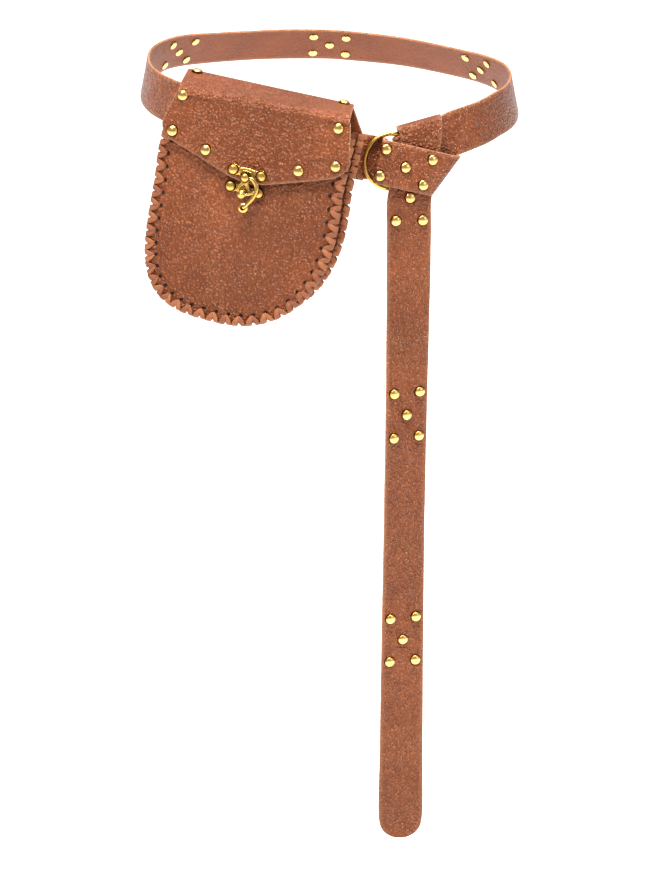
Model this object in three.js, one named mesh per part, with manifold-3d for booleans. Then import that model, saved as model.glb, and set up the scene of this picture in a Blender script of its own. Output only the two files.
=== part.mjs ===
// A leather belt pouch on a ring belt, in millimetres.
// +X is to the wearer's left hand side as seen from the front, +Y goes to the back, +Z is up.
// The origin is the middle of the waist opening that the belt goes round.
import * as THREE from 'three';
import Module from 'manifold-3d';
import { mergeVertices } from 'three/addons/utils/BufferGeometryUtils.js';

const wasm = await Module();
wasm.setup();

// Belt strap, one piece of leather.
const strapWidth = 38;
const strapThick = 2.5;
const tailLength = 585;          // free end, from the knot's lower edge to the tip
const tailPoint = 18;            // length of the rounded point
const tailDrift = 5;             // how far the tip hangs to the left of the knot

// Waist: the middle line of the belt.
const waistWidth = 320;
const waistDepth = 250;
const waistPower = 2.2;          // 2 is an ellipse, more is squarer
const waistRise = 22;            // height of the back over the origin, and of the origin over the ring
const leanFront = 8;             // degrees that the band's top leans in
const leanBack = 35;

// Belt ring.
const ringTurn = 23.4;           // degrees round the waist from the front
const ringInner = 43;
const ringWire = 4;

// Rivets with a dome outside and a flat cap inside.
const domeWidth = 9;
const domeHeight = 2.6;
const capWidth = 8;
const capHeight = 1.2;
const shankWidth = 3;
const groupLength = 40;          // a group of five, corner to corner along the strap
const groupAcross = 23.2;
const backGroupLength = 29;
const backGroupAcross = 21.6;

// Pouch.
const leather = 2;
const pouchDepth = 46;
const pouchHalf = 78.5;          // half the width of the panels
const pouchBottom = 161.5;       // from the belt's middle line down to the lowest point
const pouchShoulder = 57;        // from the belt's middle line down to where the sides start to round
const pouchTop = 17;             // panel and gusset top over the belt's middle line
const pouchPower = 2.7;
const pouchBulge = 4;            // how far the front panel stands out in its middle
const pouchSway = 18;            // how far its body sways to the right before its bottom hangs back
const pouchTurn = -27.1;         // where it sits round the waist, in degrees
const pouchShift = 11;           // pouch's middle to the right of that place
const pouchYaw = -12;
const pouchPitch = 8;
const pouchRoll = 11.5;
const pouchStandOff = 2;         // belt to back panel

// Flap.
const flapRear = 37;             // height of the flap's rear fold over the belt's middle line
const flapFold = 29;             // height of its front fold
const flapFoldHalf = 74;
const flapRearHalf = 73;
const flapRearShift = -7;        // rear fold to the left of the front fold
const flapHalf = 82.5;           // half width at its lower corners
const flapPoint = 40;            // drop of its point below the belt's middle line
const flapTilt = 0.08;           // slope of the front fold against the pouch, twice the rear fold's
const flapGap = 2.6;             // room between flap and front panel, for lace and rivet caps
const flapCap = 0.6;             // height of the rivets' inner caps there
const flapTopRivet = 64.5;         // rivets on the flap's top, from its middle

// Lace.
const laceThick = 1.2;
const laceStitches = 34;         // pairs of stitches round one seam
const laceHoleInset = 5.5;
const seamRoom = 0.9;            // leather's edges to the lace drawn round them
const laceBump = 3.2;            // how far a stitch stands past the panel's edge
const laceDip = 1.9;

// Gusset.
const gussetInset = 4.6;         // panel edge to the gusset's outer face

// Belt loops behind the pouch.
const loopWidth = 24;
const loopApart = 80;
const loopReach = 15.2;          // how far they stand off behind the back panel
const loopSkew = 2;              // and how much lower the right one sits, as the belt does
const loopDrop = 5;              // their middle under the belt's middle line at the pouch's seat

// Swing clasp.
const plateLength = 34;
const plateWidth = 9;
const plateThick = 1.5;
const claspDomeWidth = 8.6;
const claspDomeHeight = 2.1;
const claspDomesApart = 24.5;
const pivotDrop = 34.5;          // pivot below the belt's middle line
const plateRise = 3.5;           // upper plate's middle over the pivot
const lowerPlateDrop = 11.5;     // lower plate's middle under the pivot
const plateSag = 0.4;            // lower plate off the flap's inner side
const postDrop = 14.6;           // post below the pivot
const postWidth = 4.6;
const postHeight = 10.6;
const prongThick = 2;
const hookThick = 2.4;
const hookBar = 3.2;
const hookDisc = 9;
const pivotWidth = 3.4;
// Middle line of the hook, in shares of postDrop from the pivot.
const hookArc = [
  { x: 0.12, y: 0.0 },
  { x: 0.5, y: -0.05 },
  { x: 0.78, y: -0.4 },
  { x: 0.72, y: -0.95 },
  { x: 0.5, y: -1.4 },
  { x: 0.25, y: -1.75 },
];

const gap = 0.3;                 // clearance between touching pieces
const degree = Math.PI / 180;
const lerp = THREE.MathUtils.lerp;

const leatherOuter = new THREE.MeshStandardMaterial({ color: 0x8a523c, roughness: 0.55, metalness: 0 });
const laceLeather = new THREE.MeshStandardMaterial({ color: 0xa56444, roughness: 0.75, metalness: 0 });
const brass = new THREE.MeshStandardMaterial({ color: 0xd9a53a, roughness: 0.3, metalness: 1 });

const part = new THREE.Group();

// Solids and booleans

function toSolid(geometry) {
  const bare = geometry.clone();
  bare.deleteAttribute('normal');
  bare.deleteAttribute('uv');
  const merged = mergeVertices(bare, 1e-4);
  return new wasm.Manifold(new wasm.Mesh({
    numProp: 3,
    vertProperties: Float32Array.from(merged.attributes.position.array),
    triVerts: Uint32Array.from(merged.index.array),
  }));
}

function toGeometry(solid) {
  const mesh = solid.getMesh();
  const geometry = new THREE.BufferGeometry();
  geometry.setAttribute('position', new THREE.BufferAttribute(new Float32Array(mesh.vertProperties), 3));
  geometry.setIndex(new THREE.BufferAttribute(new Uint32Array(mesh.triVerts), 1));
  return geometry;
}

function union(geometries) {
  return geometries.map(toSolid).reduce((all, next) => all.add(next));
}

function addPiece(name, geometry, material, group = part) {
  const mesh = new THREE.Mesh(geometry, material);
  mesh.name = name;
  group.add(mesh);
  return mesh;
}

// A closed wall between two grids of points: outer[i][j] and inner[i][j].
function wall(outer, inner) {
  const rows = outer.length;
  const columns = outer[0].length;
  const points = [...outer.flat(), ...inner.flat()];
  const index = [];
  const at = (side, i, j) => side * rows * columns + i * columns + j;
  const quad = (a, b, c, d) => index.push(a, b, c, a, c, d);
  for (let i = 0; i < rows - 1; i++) {
    for (let j = 0; j < columns - 1; j++) {
      quad(at(0, i, j), at(0, i, j + 1), at(0, i + 1, j + 1), at(0, i + 1, j));
      quad(at(1, i, j), at(1, i + 1, j), at(1, i + 1, j + 1), at(1, i, j + 1));
    }
  }
  for (let i = 0; i < rows - 1; i++) {
    quad(at(0, i, 0), at(0, i + 1, 0), at(1, i + 1, 0), at(1, i, 0));
    quad(at(0, i + 1, columns - 1), at(0, i, columns - 1), at(1, i, columns - 1), at(1, i + 1, columns - 1));
  }
  for (let j = 0; j < columns - 1; j++) {
    quad(at(0, 0, j + 1), at(0, 0, j), at(1, 0, j), at(1, 0, j + 1));
    quad(at(0, rows - 1, j), at(0, rows - 1, j + 1), at(1, rows - 1, j + 1), at(1, rows - 1, j));
  }
  return closed(points, index);
}

// A closed profile (array of points) carried through a list of sections, with flat ends.
function sweep(sections) {
  const sides = sections[0].length;
  const index = [];
  for (let i = 0; i < sections.length - 1; i++) {
    for (let j = 0; j < sides; j++) {
      const a = i * sides + j;
      const b = i * sides + (j + 1) % sides;
      index.push(a, b, b + sides, a, b + sides, a + sides);
    }
  }
  const last = (sections.length - 1) * sides;
  const flat = sections[0].map((p) => p.flat);
  const turn = THREE.ShapeUtils.isClockWise(flat);
  const faces = THREE.ShapeUtils.triangulateShape(turn ? [...flat].reverse() : flat, []);
  for (const face of faces) {
    const [a, b, c] = turn ? face.map((k) => sides - 1 - k).reverse() : face;
    index.push(a, c, b);
    index.push(last + a, last + b, last + c);
  }
  return closed(sections.flat().map((p) => p.point), index);
}

// An indexed geometry whose faces are turned to point out.
function closed(points, index) {
  const geometry = new THREE.BufferGeometry().setFromPoints(points);
  let volume = 0;
  for (let k = 0; k < index.length; k += 3) {
    const [a, b, c] = [points[index[k]], points[index[k + 1]], points[index[k + 2]]];
    volume += a.dot(new THREE.Vector3().crossVectors(b, c));
  }
  if (volume < 0) {
    for (let k = 0; k < index.length; k += 3) {
      [index[k + 1], index[k + 2]] = [index[k + 2], index[k + 1]];
    }
  }
  geometry.setIndex(index);
  return geometry;
}

// Value of a table's column at x, on straight lines between its rows.
function lookUp(table, x, from, to) {
  let low = table[0];
  for (const row of table) {
    if (row[from] >= x) {
      const span = row[from] - low[from];
      return span === 0 ? row[to] : low[to] + (row[to] - low[to]) * (x - low[from]) / span;
    }
    low = row;
  }
  return low[to];
}

// Belt strap

// Height of the band's middle line round the waist, in shares of waistRise.
const bandHeights = [
  { turn: 23.4, height: -1.0 },
  { turn: 41, height: -0.41 },
  { turn: 50, height: -0.14 },
  { turn: 57, height: 0.0 },
  { turn: 66, height: 0.16 },
  { turn: 90, height: 0.27 },
  { turn: 133, height: 0.46 },
  { turn: 152, height: 0.66 },
  { turn: 180, height: 0.86 },
  { turn: 215, height: 0.93 },
  { turn: 228, height: 1.0 },
  { turn: 240, height: 1.12 },
  { turn: 250, height: 1.12 },
  { turn: 264, height: 1.06 },
  { turn: 282, height: 0.93 },
  { turn: 294, height: 0.84 },
  { turn: 315, height: 0.68 },
  { turn: 333, height: 0.36 },
  { turn: 352, height: -0.27 },
  { turn: 370, height: -0.8 },
  { turn: 383.4, height: -1.0 },
];

// How far the band has gone over from leanFront to leanBack, by its turn away from the front.
const bandLeans = [
  { away: -20, lean: 0 },
  { away: 75, lean: 0 },
  { away: 90, lean: 0.08 },
  { away: 100, lean: 0.25 },
  { away: 110, lean: 0.55 },
  { away: 120, lean: 0.85 },
  { away: 132, lean: 0.97 },
  { away: 145, lean: 1 },
  { away: 180, lean: 1 },
];

function waistPoint(turn, height) {
  const s = Math.sin(turn * degree);
  const c = Math.cos(turn * degree);
  const size = (Math.abs(2 * s / waistWidth) ** waistPower + Math.abs(2 * c / waistDepth) ** waistPower)
    ** (-1 / waistPower);
  return new THREE.Vector3(size * s, -size * c, height);
}

// The two edges of the band at a turn round the waist.
function waistStation(turn) {
  const centre = (t) => waistPoint(t, waistRise * lookUp(bandHeights, t, 'turn', 'height'));
  const along = centre(turn + 2).sub(centre(turn - 2)).normalize();
  const outward = new THREE.Vector3(along.y, -along.x, 0).normalize();
  const away = Math.min(turn, 360 - turn);
  const lean = lerp(leanFront, leanBack, lookUp(bandLeans, away, 'away', 'lean')) * degree;
  const across = new THREE.Vector3(0, 0, Math.cos(lean)).addScaledVector(outward, -Math.sin(lean));
  across.addScaledVector(along, -across.dot(along)).normalize();
  return pair(centre(turn), across, strapWidth / 2);
}

function pair(centre, across, half) {
  return {
    upper: centre.clone().addScaledVector(across, half),
    lower: centre.clone().addScaledVector(across, -half),
  };
}

// The knot's own frame stands at the ring's centre: x to the right, y up, z out from the body.
const knotFrame = new THREE.Matrix4().makeRotationFromEuler(
  new THREE.Euler(Math.PI / 2 - leanFront * degree, 0, 12 * degree, 'ZXY'));
knotFrame.setPosition(waistPoint(ringTurn, -waistRise));

function knotPoint(x, y, z) {
  return new THREE.Vector3(x, y, z).applyMatrix4(knotFrame);
}

// Heights of the knot's layers over the body, each one resting on the one below.
const ringRadius = (ringInner + ringWire) / 2;
const ringLayer = strapThick / 2 + gap + ringWire / 2;
const overRing = 2 * ringLayer;
const tailLayer = overRing + strapThick + 0.4;
const bandLayer = tailLayer + strapThick + capHeight + 0.8;
const innerLayer = -strapThick - 1.3;

// A stretch of strap in the knot: distance along its direction from the ring's centre, in shares of
// the ring's inner radius; height as a share between two layers; half width as a share.
const rightAngle = 19.6;
const leftAngle = -12;
const bandAngle = -15.5;

function knotStation(angle, along, height, offset = 0, half = 1) {
  const c = Math.cos(angle * degree);
  const s = Math.sin(angle * degree);
  const w = half * strapWidth / 2;
  return {
    upper: knotPoint(along * c - (offset + w) * s, along * s + (offset + w) * c, height),
    lower: knotPoint(along * c - (offset - w) * s, along * s + (offset - w) * c, height),
  };
}

const reach = ringInner / 2;

// Right strap: its turned-back end behind, the fold round the ring, then out to the right.
const rightStretch = [
  { along: 2.05, height: -0.3, half: 1.0 },
  { along: 1.3, height: -0.11, half: 1.0 },
  { along: 0.65, height: 0.0, half: 0.98 },
  { along: 0.43, height: 0.15, half: 0.95 },
  { along: 0.37, height: 0.5, half: 0.94 },
  { along: 0.43, height: 0.85, half: 0.95 },
  { along: 0.65, height: 1.0, half: 0.98 },
  { along: 1.28, height: 1.0, half: 0.98 },
  { along: 1.62, height: 0.6, half: 0.94 },
  { along: 2.1, height: 0.14, half: 0.94 },
  { along: 2.7, height: -0.5, half: 1.0 },
];

// Left strap: behind the ring's left side, up through the ring, over and out as the band.
const leftStretch = [
  { along: -1.5, height: -0.14, angle: leftAngle, half: 1.0, steps: 1 },
  { along: -0.95, height: -0.02, angle: leftAngle, half: 1.0, steps: 1 },
  { along: -0.62, height: 0.0, angle: leftAngle, half: 0.99, steps: 1 },
  { along: -0.43, height: 0.1, angle: leftAngle, half: 0.95, steps: 2 },
  { along: -0.35, height: 0.3, angle: leftAngle, half: 0.94, steps: 2 },
  { along: -0.43, height: 0.55, angle: leftAngle, half: 0.95, steps: 2 },
  { along: -0.6, height: 0.77, angle: bandAngle, half: 0.99, steps: 2 },
  { along: -0.6, height: 0.94, angle: bandAngle, half: 1.0, steps: 2 },
  { along: -0.42, height: 1.0, angle: bandAngle, half: 1.0, steps: 1 },
  { along: 0.5, height: 1.0, angle: bandAngle, half: 1.0, steps: 1 },
  { along: 1.1, height: 1.0, angle: bandAngle, half: 1.0, steps: 1 },
];

// From the band's slanted fold, up behind the right strap, over its top edge and down: x and y of both
// edges as shares of the strap's width, heights as shares of the band's layer.
const knotTurns = [
  { ux: 1.44, uy: 0.07, uz: 0.68, lx: 0.73, ly: -0.77, lz: 0.93, steps: 2 },
  { ux: 1.535, uy: 0.045, uz: 0.46, lx: 0.815, ly: -0.79, lz: 0.75, steps: 2 },
  { ux: 1.56, uy: 0.045, uz: 0.1, lx: 0.85, ly: -0.795, lz: 0.3, steps: 2 },
  { ux: 1.53, uy: 0.1, uz: -0.28, lx: 0.83, ly: -0.74, lz: -0.12, steps: 2 },
  { ux: 1.47, uy: 0.21, uz: -0.42, lx: 0.77, ly: -0.64, lz: -0.27, steps: 1 },
  { ux: 1.32, uy: 0.54, uz: -0.42, lx: 0.49, ly: -0.03, lz: -0.28, steps: 1 },
  { ux: 1.2, uy: 0.83, uz: -0.36, lx: 0.2, ly: 0.6, lz: -0.27, steps: 2 },
  { ux: 1.16, uy: 0.93, uz: -0.18, lx: 0.15, ly: 0.71, lz: -0.1, steps: 2 },
  { ux: 1.14, uy: 0.97, uz: 0.2, lx: 0.135, ly: 0.75, lz: 0.22, steps: 2 },
  { ux: 1.14, uy: 0.92, uz: 0.58, lx: 0.14, ly: 0.71, lz: 0.6, steps: 2 },
  { ux: 1.13, uy: 0.8, uz: 0.69, lx: 0.16, ly: 0.6, lz: 0.7, steps: 1 },
  { ux: 1.09, uy: 0.4, uz: 0.697, lx: 0.17, ly: 0.36, lz: 0.697, steps: 1 },
  { ux: 0.96, uy: -0.37, uz: 0.697, lx: -0.015, ly: -0.24, lz: 0.697, steps: 1 },
  { ux: 0.84, uy: -0.88, uz: 0.68, lx: -0.165, ly: -0.83, lz: 0.68, steps: 1 },
];

// The hanging tail: how far down it is, how far it has drifted, and how far it has twisted.
const tailStations = [
  { fall: 0.05, drift: 0.02, twist: 9 },
  { fall: 0.15, drift: 0.1, twist: 13 },
  { fall: 0.3, drift: 0.3, twist: 20 },
  { fall: 0.5, drift: 0.6, twist: 22 },
  { fall: 0.68, drift: 0.8, twist: 16 },
  { fall: 0.85, drift: 0.92, twist: 9 },
];

// The rounded point: distance back from the tip as a share of tailPoint, width as a share.
const pointStations = [
  { back: 1.0, width: 1.0 },
  { back: 0.55, width: 0.9 },
  { back: 0.25, width: 0.7 },
  { back: 0.07, width: 0.42 },
  { back: 0.0, width: 0.2 },
];

function strapStations() {
  const list = [];
  const push = (station, steps) => list.push({ ...station, steps });
  for (const row of rightStretch) {
    push(knotStation(rightAngle, row.along * reach, row.height * overRing, 0, row.half), 2);
  }
  for (let turn = 59; turn <= 374; turn += 7) {
    push(waistStation(turn), 1);
  }
  for (const row of leftStretch) {
    const offset = row.height > 0.9 ? -1.8 : 0;
    push(knotStation(row.angle, row.along * reach, row.height * bandLayer, offset, row.half), row.steps);
  }
  for (const row of knotTurns) {
    push({
      upper: knotPoint(row.ux * strapWidth, row.uy * strapWidth, row.uz * bandLayer),
      lower: knotPoint(row.lx * strapWidth, row.ly * strapWidth, row.lz * bandLayer),
    }, row.steps);
  }
  const end = list[list.length - 1];
  const start = end.upper.clone().add(end.lower).multiplyScalar(0.5);
  const hang = (fall, drift, twist, width) => {
    const centre = new THREE.Vector3(start.x - drift * tailDrift, start.y, start.z - fall);
    const across = new THREE.Vector3(Math.cos(twist * degree), Math.sin(twist * degree), 0);
    return pair(centre, across, width * strapWidth / 2);
  };
  for (const row of tailStations) {
    push(hang(row.fall * tailLength, row.drift, row.twist, 1), 5);
  }
  for (const row of pointStations) {
    push(hang(tailLength - row.back * tailPoint, 1, 5, row.width), 1);
  }
  return list;
}

// The strap's two edges as smooth curves through its stations.
const stations = strapStations();
const upperEdge = new THREE.CatmullRomCurve3(stations.map((s) => s.upper), false, 'centripetal');
const lowerEdge = new THREE.CatmullRomCurve3(stations.map((s) => s.lower), false, 'centripetal');

// Rows across the strap, from its turned-back end at the ring to its tip.
const rows = [];
for (let i = 0; i < stations.length; i++) {
  const steps = i < stations.length - 1 ? stations[i].steps : 1;
  for (let k = 0; k < steps; k++) {
    const share = (i + k / steps) / (stations.length - 1);
    rows.push({ upper: upperEdge.getPoint(share), lower: lowerEdge.getPoint(share) });
  }
}
for (const [i, row] of rows.entries()) {
  const before = rows[Math.max(0, i - 1)];
  const after = rows[Math.min(rows.length - 1, i + 1)];
  const along = after.upper.clone().add(after.lower).sub(before.upper).sub(before.lower);
  row.middle = row.upper.clone().add(row.lower).multiplyScalar(0.5);
  row.across = row.upper.clone().sub(row.lower).normalize();
  row.outward = new THREE.Vector3().crossVectors(along, row.across).normalize();
}
rows[rows.length - 1].fromTip = 0;
for (let i = rows.length - 2; i >= 0; i--) {
  rows[i].fromTip = rows[i + 1].fromTip + rows[i].middle.distanceTo(rows[i + 1].middle);
}

function strapGeometry() {
  const face = (side) => rows.map(({ upper, lower, outward }) => [upper, lower].map(
    (edge) => edge.clone().addScaledVector(outward, side * strapThick / 2)));
  return wall(face(1), face(-1));
}

// Seat of a rivet on the strap's outer face, by its distance from the tip and from the middle line.
function strapSeat(distance, side) {
  const i = Math.max(0, rows.findIndex((row) => row.fromTip < distance) - 1);
  const share = (rows[i].fromTip - distance) / (rows[i].fromTip - rows[i + 1].fromTip);
  const [start, end] = [rows[i], rows[i + 1]].map((row) => row.middle.clone()
    .addScaledVector(row.across, side).addScaledVector(row.outward, strapThick / 2));
  const across = rows[i].across.clone().lerp(rows[i + 1].across, share);
  const along = end.clone().sub(start).normalize();
  const outward = new THREE.Vector3().crossVectors(along, across).normalize();
  return seat(start.lerp(end, share), along, outward);
}

// Distance from the tip of the place on the strap's middle line nearest a point.
function fromTipOf(target) {
  let nearest = { away: Infinity };
  for (let i = 0; i < rows.length - 1; i++) {
    const line = new THREE.Line3(rows[i].middle, rows[i + 1].middle);
    const share = line.closestPointToPointParameter(target, true);
    const away = line.at(share, new THREE.Vector3()).distanceTo(target);
    if (away < nearest.away) {
      nearest = { away, fromTip: lerp(rows[i].fromTip, rows[i + 1].fromTip, share) };
    }
  }
  return nearest.fromTip;
}

// Rivets

// Dome outside, shank through the leather, flat cap inside. The axis is +Z and z = 0 is the leather's
// outer face.
function rivetGeometry(thick, cap) {
  const low = -thick - gap;
  const profile = [
    [0, low - cap],
    [capWidth / 2, low],
    [shankWidth / 2, low],
    [shankWidth / 2, gap],
    [domeWidth / 2, gap],
    [domeWidth * 0.38, gap + domeHeight * 0.62],
    [0, gap + domeHeight],
  ].map(([r, z]) => new THREE.Vector2(r, z));
  return toGeometry(toSolid(new THREE.LatheGeometry(profile, 7).rotateX(Math.PI / 2)));
}

// What a rivet takes out of the leather: the hole, and flat seats pressed in by the dome and the cap.
function holeSolid(thick, matrix) {
  const seatDepth = 1;
  const disc = (width, length, z, sides) => {
    const radius = (width / 2 + gap) / Math.cos(Math.PI / sides);
    const tool = new THREE.CylinderGeometry(radius, radius, length, sides);
    return toSolid(tool.rotateX(Math.PI / 2).translate(0, 0, z).applyMatrix4(matrix));
  };
  return disc(shankWidth, 3 * thick, -thick / 2, 5)
    .add(disc(domeWidth, seatDepth, seatDepth / 2 + 0.1, 6))
    .add(disc(capWidth, seatDepth, -thick - seatDepth / 2 - 0.1, 6));
}

// Matrix with +Z along outward, standing on a leather face.
function seat(point, along, outward) {
  const side = new THREE.Vector3().crossVectors(outward, along).normalize();
  const forward = new THREE.Vector3().crossVectors(side, outward).normalize();
  return new THREE.Matrix4().makeBasis(forward, side, outward.clone().normalize()).setPosition(point);
}

// Groups of five on the strap: up the tail as a share of tailLength, or by their turn round the waist.
const bandMiddle = new THREE.Vector3(Math.cos(bandAngle * degree), Math.sin(bandAngle * degree), 0)
  .multiplyScalar(reach * 0.46);
const rivetGroups = [
  { name: 'tail_low', up: 0.32, full: true },
  { name: 'tail_mid', up: 0.672, full: true },
  { name: 'tail_high', up: 1.003, full: false },
  { name: 'knot', place: knotPoint(bandMiddle.x, bandMiddle.y, bandLayer), full: true },
  { name: 'right', turn: 119, full: true },
  { name: 'centre', turn: 180, full: true },
  { name: 'left', turn: 240.5, full: true },
];

// Where the five sit, in half lengths and half widths of the group. The two ahead are left out where
// the knot's band lies over them.
const five = [
  { ahead: 0, side: 0 },
  { ahead: -1, side: 1 },
  { ahead: -1, side: -1 },
  { ahead: 1, side: 1 },
  { ahead: 1, side: -1 },
];

const strapRivets = rivetGroups.flatMap(({ name, up, place, turn, full }) => {
  const onWaist = turn !== undefined;
  const middle = up ? up * tailLength : fromTipOf(place ?? waistStation(turn).upper);
  const length = onWaist ? backGroupLength : groupLength;
  const across = onWaist ? backGroupAcross : groupAcross;
  return five.slice(0, full ? 5 : 3).map(({ ahead, side }, k) => ({
    name: `rivet_${name}_${k + 1}`,
    matrix: strapSeat(middle + ahead * length / 2, side * across / 2),
  }));
});

const strap = strapRivets.reduce((solid, { matrix }) => solid.subtract(holeSolid(strapThick, matrix)),
  toSolid(strapGeometry()));
addPiece('belt_strap', toGeometry(strap), leatherOuter);
for (const { name, matrix } of strapRivets) {
  addPiece(name, rivetGeometry(strapThick, capHeight), brass).applyMatrix4(matrix);
}

// Pouch

// The pouch's own frame: x to the right from its middle, -y out of its front, z up its height from the
// belt's middle line. y = 0 is the rear face of the back panel, just in front of the belt.
const pouch = new THREE.Group();
pouch.rotation.set(-pouchPitch * degree, pouchRoll * degree, pouchYaw * degree, 'ZXY');
const pouchSeat = waistStation(360 + pouchTurn);
pouch.position.copy(pouchSeat.upper).add(pouchSeat.lower).multiplyScalar(0.5);
pouch.updateMatrix();
const pouchAxis = (x, y, z) => new THREE.Vector3(x, y, z).applyEuler(pouch.rotation);
pouch.position.addScaledVector(pouchAxis(0, -1, 0), strapThick / 2 + pouchStandOff);
pouch.position.addScaledVector(pouchAxis(1, 0, 0), pouchShift);
part.add(pouch);


// How far the pouch's body sways sideways at a height: right at first, then back to the left.
function hang(z) {
  const low = Math.max(0, -pivotDrop - z) / (pouchBottom - pivotDrop);
  return pouchSway * low * (1 - 1.5 * low);
}

// Half width of the panels at a height, grown or shrunk by an offset.
function halfWidthAt(z, offset) {
  const fall = Math.max(0, -pouchShoulder - z) / (pouchBottom - pouchShoulder + offset);
  return (pouchHalf + offset) * Math.max(0, 1 - fall ** pouchPower) ** (1 / pouchPower);
}

// The U of the panels' edge, offset outwards: from the left top round the bottom to the right top.
function edgeU(count, offset) {
  const side = pouchTop + pouchShoulder;
  const round = pouchBottom - pouchShoulder + offset;
  const points = [];
  const fineSteps = 400;
  for (let k = 0; k <= fineSteps; k++) {
    const angle = Math.PI * k / fineSteps;
    const c = Math.cos(angle);
    const x = -Math.sign(c) * (pouchHalf + offset) * Math.abs(c) ** (2 / pouchPower);
    const z = -pouchShoulder - round * Math.sin(angle) ** (2 / pouchPower);
    points.push(new THREE.Vector2(x, z));
  }
  points.unshift(new THREE.Vector2(-pouchHalf - offset, -pouchShoulder + side));
  points.push(new THREE.Vector2(pouchHalf + offset, -pouchShoulder + side));
  const lengths = [0];
  for (let k = 1; k < points.length; k++) {
    lengths.push(lengths[k - 1] + points[k].distanceTo(points[k - 1]));
  }
  const total = lengths[lengths.length - 1];
  return Array.from({ length: count + 1 }, (_, i) => {
    const want = total * i / count;
    const k = Math.max(1, lengths.findIndex((l) => l >= want - 1e-9));
    const share = (want - lengths[k - 1]) / (lengths[k] - lengths[k - 1]);
    return points[k - 1].clone().lerp(points[k], share);
  });
}

// Outer face of the front panel: it bulges in the middle and is flat along its edge.
function frontFace(x, z) {
  const across = Math.min(1, Math.abs(x) / pouchHalf);
  const down = Math.min(1, Math.abs(z + pouchShoulder) / (pouchBottom - pouchShoulder));
  return -pouchDepth - pouchBulge * (1 - across ** 2) ** 2 * (1 - down ** 2) ** 2;
}

const across9 = [-1, -0.85, -0.6, -0.3, 0, 0.3, 0.6, 0.85, 1];

// Heights of the rows of a panel, closer together where its outline rounds.
const panelRows = [1, 0.5, 0, -0.4, -0.62, -0.78, -0.9, -0.965, -0.993];

function panelHeight(row) {
  return row > 0 ? lerp(-pouchShoulder, pouchTop, row) : lerp(-pouchShoulder, -pouchBottom, -row);
}

// Front panel
{
  const rowsOf = (inset) => panelRows.map((row) => across9.map((share) => {
    const z = panelHeight(row);
    const x = share * halfWidthAt(z, 0);
    return new THREE.Vector3(x + hang(z), frontFace(x, z) + inset, z);
  }));
  addPiece('pouch_front', wall(rowsOf(0), rowsOf(leather)), leatherOuter, pouch);
}

// Back panel and flap, one piece of leather: up the back, over the top and down the front.
const flapAcross = [-1, -0.965, -0.88, -0.55, -0.2, 0, 0.2, 0.55, 0.88, 0.965, 1];

// The flap's lower edge: how far down it reaches, as a share from the fold to the point.
const flapEdge = [
  { across: 0, reach: 1.0 },
  { across: 0.2, reach: 0.98 },
  { across: 0.55, reach: 0.83 },
  { across: 0.88, reach: 0.7 },
  { across: 0.965, reach: 0.62 },
  { across: 1, reach: 0.48 },
];

// Rows over the top: y as a share of the way forward, height as a share between the front fold and the
// rear fold, and which way the leather's outer face looks there, in degrees up from the back.
const topRows = [
  { forward: 0, rise: 0.72, look: 0 },
  { forward: 0.02, rise: 0.93, look: 40 },
  { forward: 0.1, rise: 1.0, look: 85 },
  { forward: 0.5, rise: 0.72, look: 100 },
  { forward: 0.9, rise: 0.3, look: 105 },
  { forward: 0.985, rise: 0.08, look: 145 },
];

const flapOut = leather + flapGap;

function flapRows(inset) {
  const rows = [];
  for (const row of [...panelRows].reverse()) {
    const z = panelHeight(row);
    rows.push(flapAcross.map((share) => new THREE.Vector3(share * halfWidthAt(z, 0) + hang(z), -inset, z)));
  }
  for (const { forward, rise, look } of topRows) {
    rows.push(flapAcross.map((share) => {
      const half = lerp(flapRearHalf, flapFoldHalf, forward);
      const x = share * half + (1 - forward) * flapRearShift;
      const z = lerp(flapFold, flapRear, rise) + flapTilt * x * (1 + forward) / 2;
      const y = -forward * (pouchDepth + flapOut + 1.5);
      const point = new THREE.Vector3(x + hang(z), y, z);
      const outward = new THREE.Vector3(0, Math.cos(look * degree), Math.sin(look * degree));
      return point.addScaledVector(outward, -inset);
    }));
  }
  for (const down of [0.12, 0.45, 0.75, 1]) {
    rows.push(flapAcross.map((share) => {
      const lower = lookUp(flapEdge, Math.abs(share), 'across', 'reach');
      const fold = flapFold + flapTilt * share * flapFoldHalf;
      const z = lerp(fold, -flapPoint, down * lower);
      const x = share * lerp(flapFoldHalf, flapHalf, Math.min(1, down * lower / 0.5));
      return new THREE.Vector3(x + hang(z), frontFace(x, z) - flapOut + inset, z);
    }));
  }
  return rows;
}

// Rivets on the flap's front: how far across as a share of flapHalf, how far down as a share from the
// fold to the point.
const flapRivets = [
  { name: 'left_high', across: -0.84, down: 0.16 },
  { name: 'left_low', across: -0.865, down: 0.615 },
  { name: 'left_inner', across: -0.48, down: 0.735 },
  { name: 'right_high', across: 0.8, down: 0.07 },
  { name: 'right_low', across: 0.86, down: 0.53 },
  { name: 'right_inner', across: 0.5, down: 0.695 },
];
const flapRivetSeats = flapRivets.map(({ name, across, down }) => {
  const x = across * flapHalf;
  const z = lerp(flapFold, -flapPoint, down);
  const slope = (dx, dz) => frontFace(x + dx, z + dz) - frontFace(x - dx, z - dz);
  const outward = new THREE.Vector3(slope(2, 0) / 4, -1, slope(0, 2) / 4).normalize();
  const face = new THREE.Vector3(x + hang(z), frontFace(x, z) - flapOut, z);
  return { name, matrix: seat(face, new THREE.Vector3(1, 0, 0), outward) };
});
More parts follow.
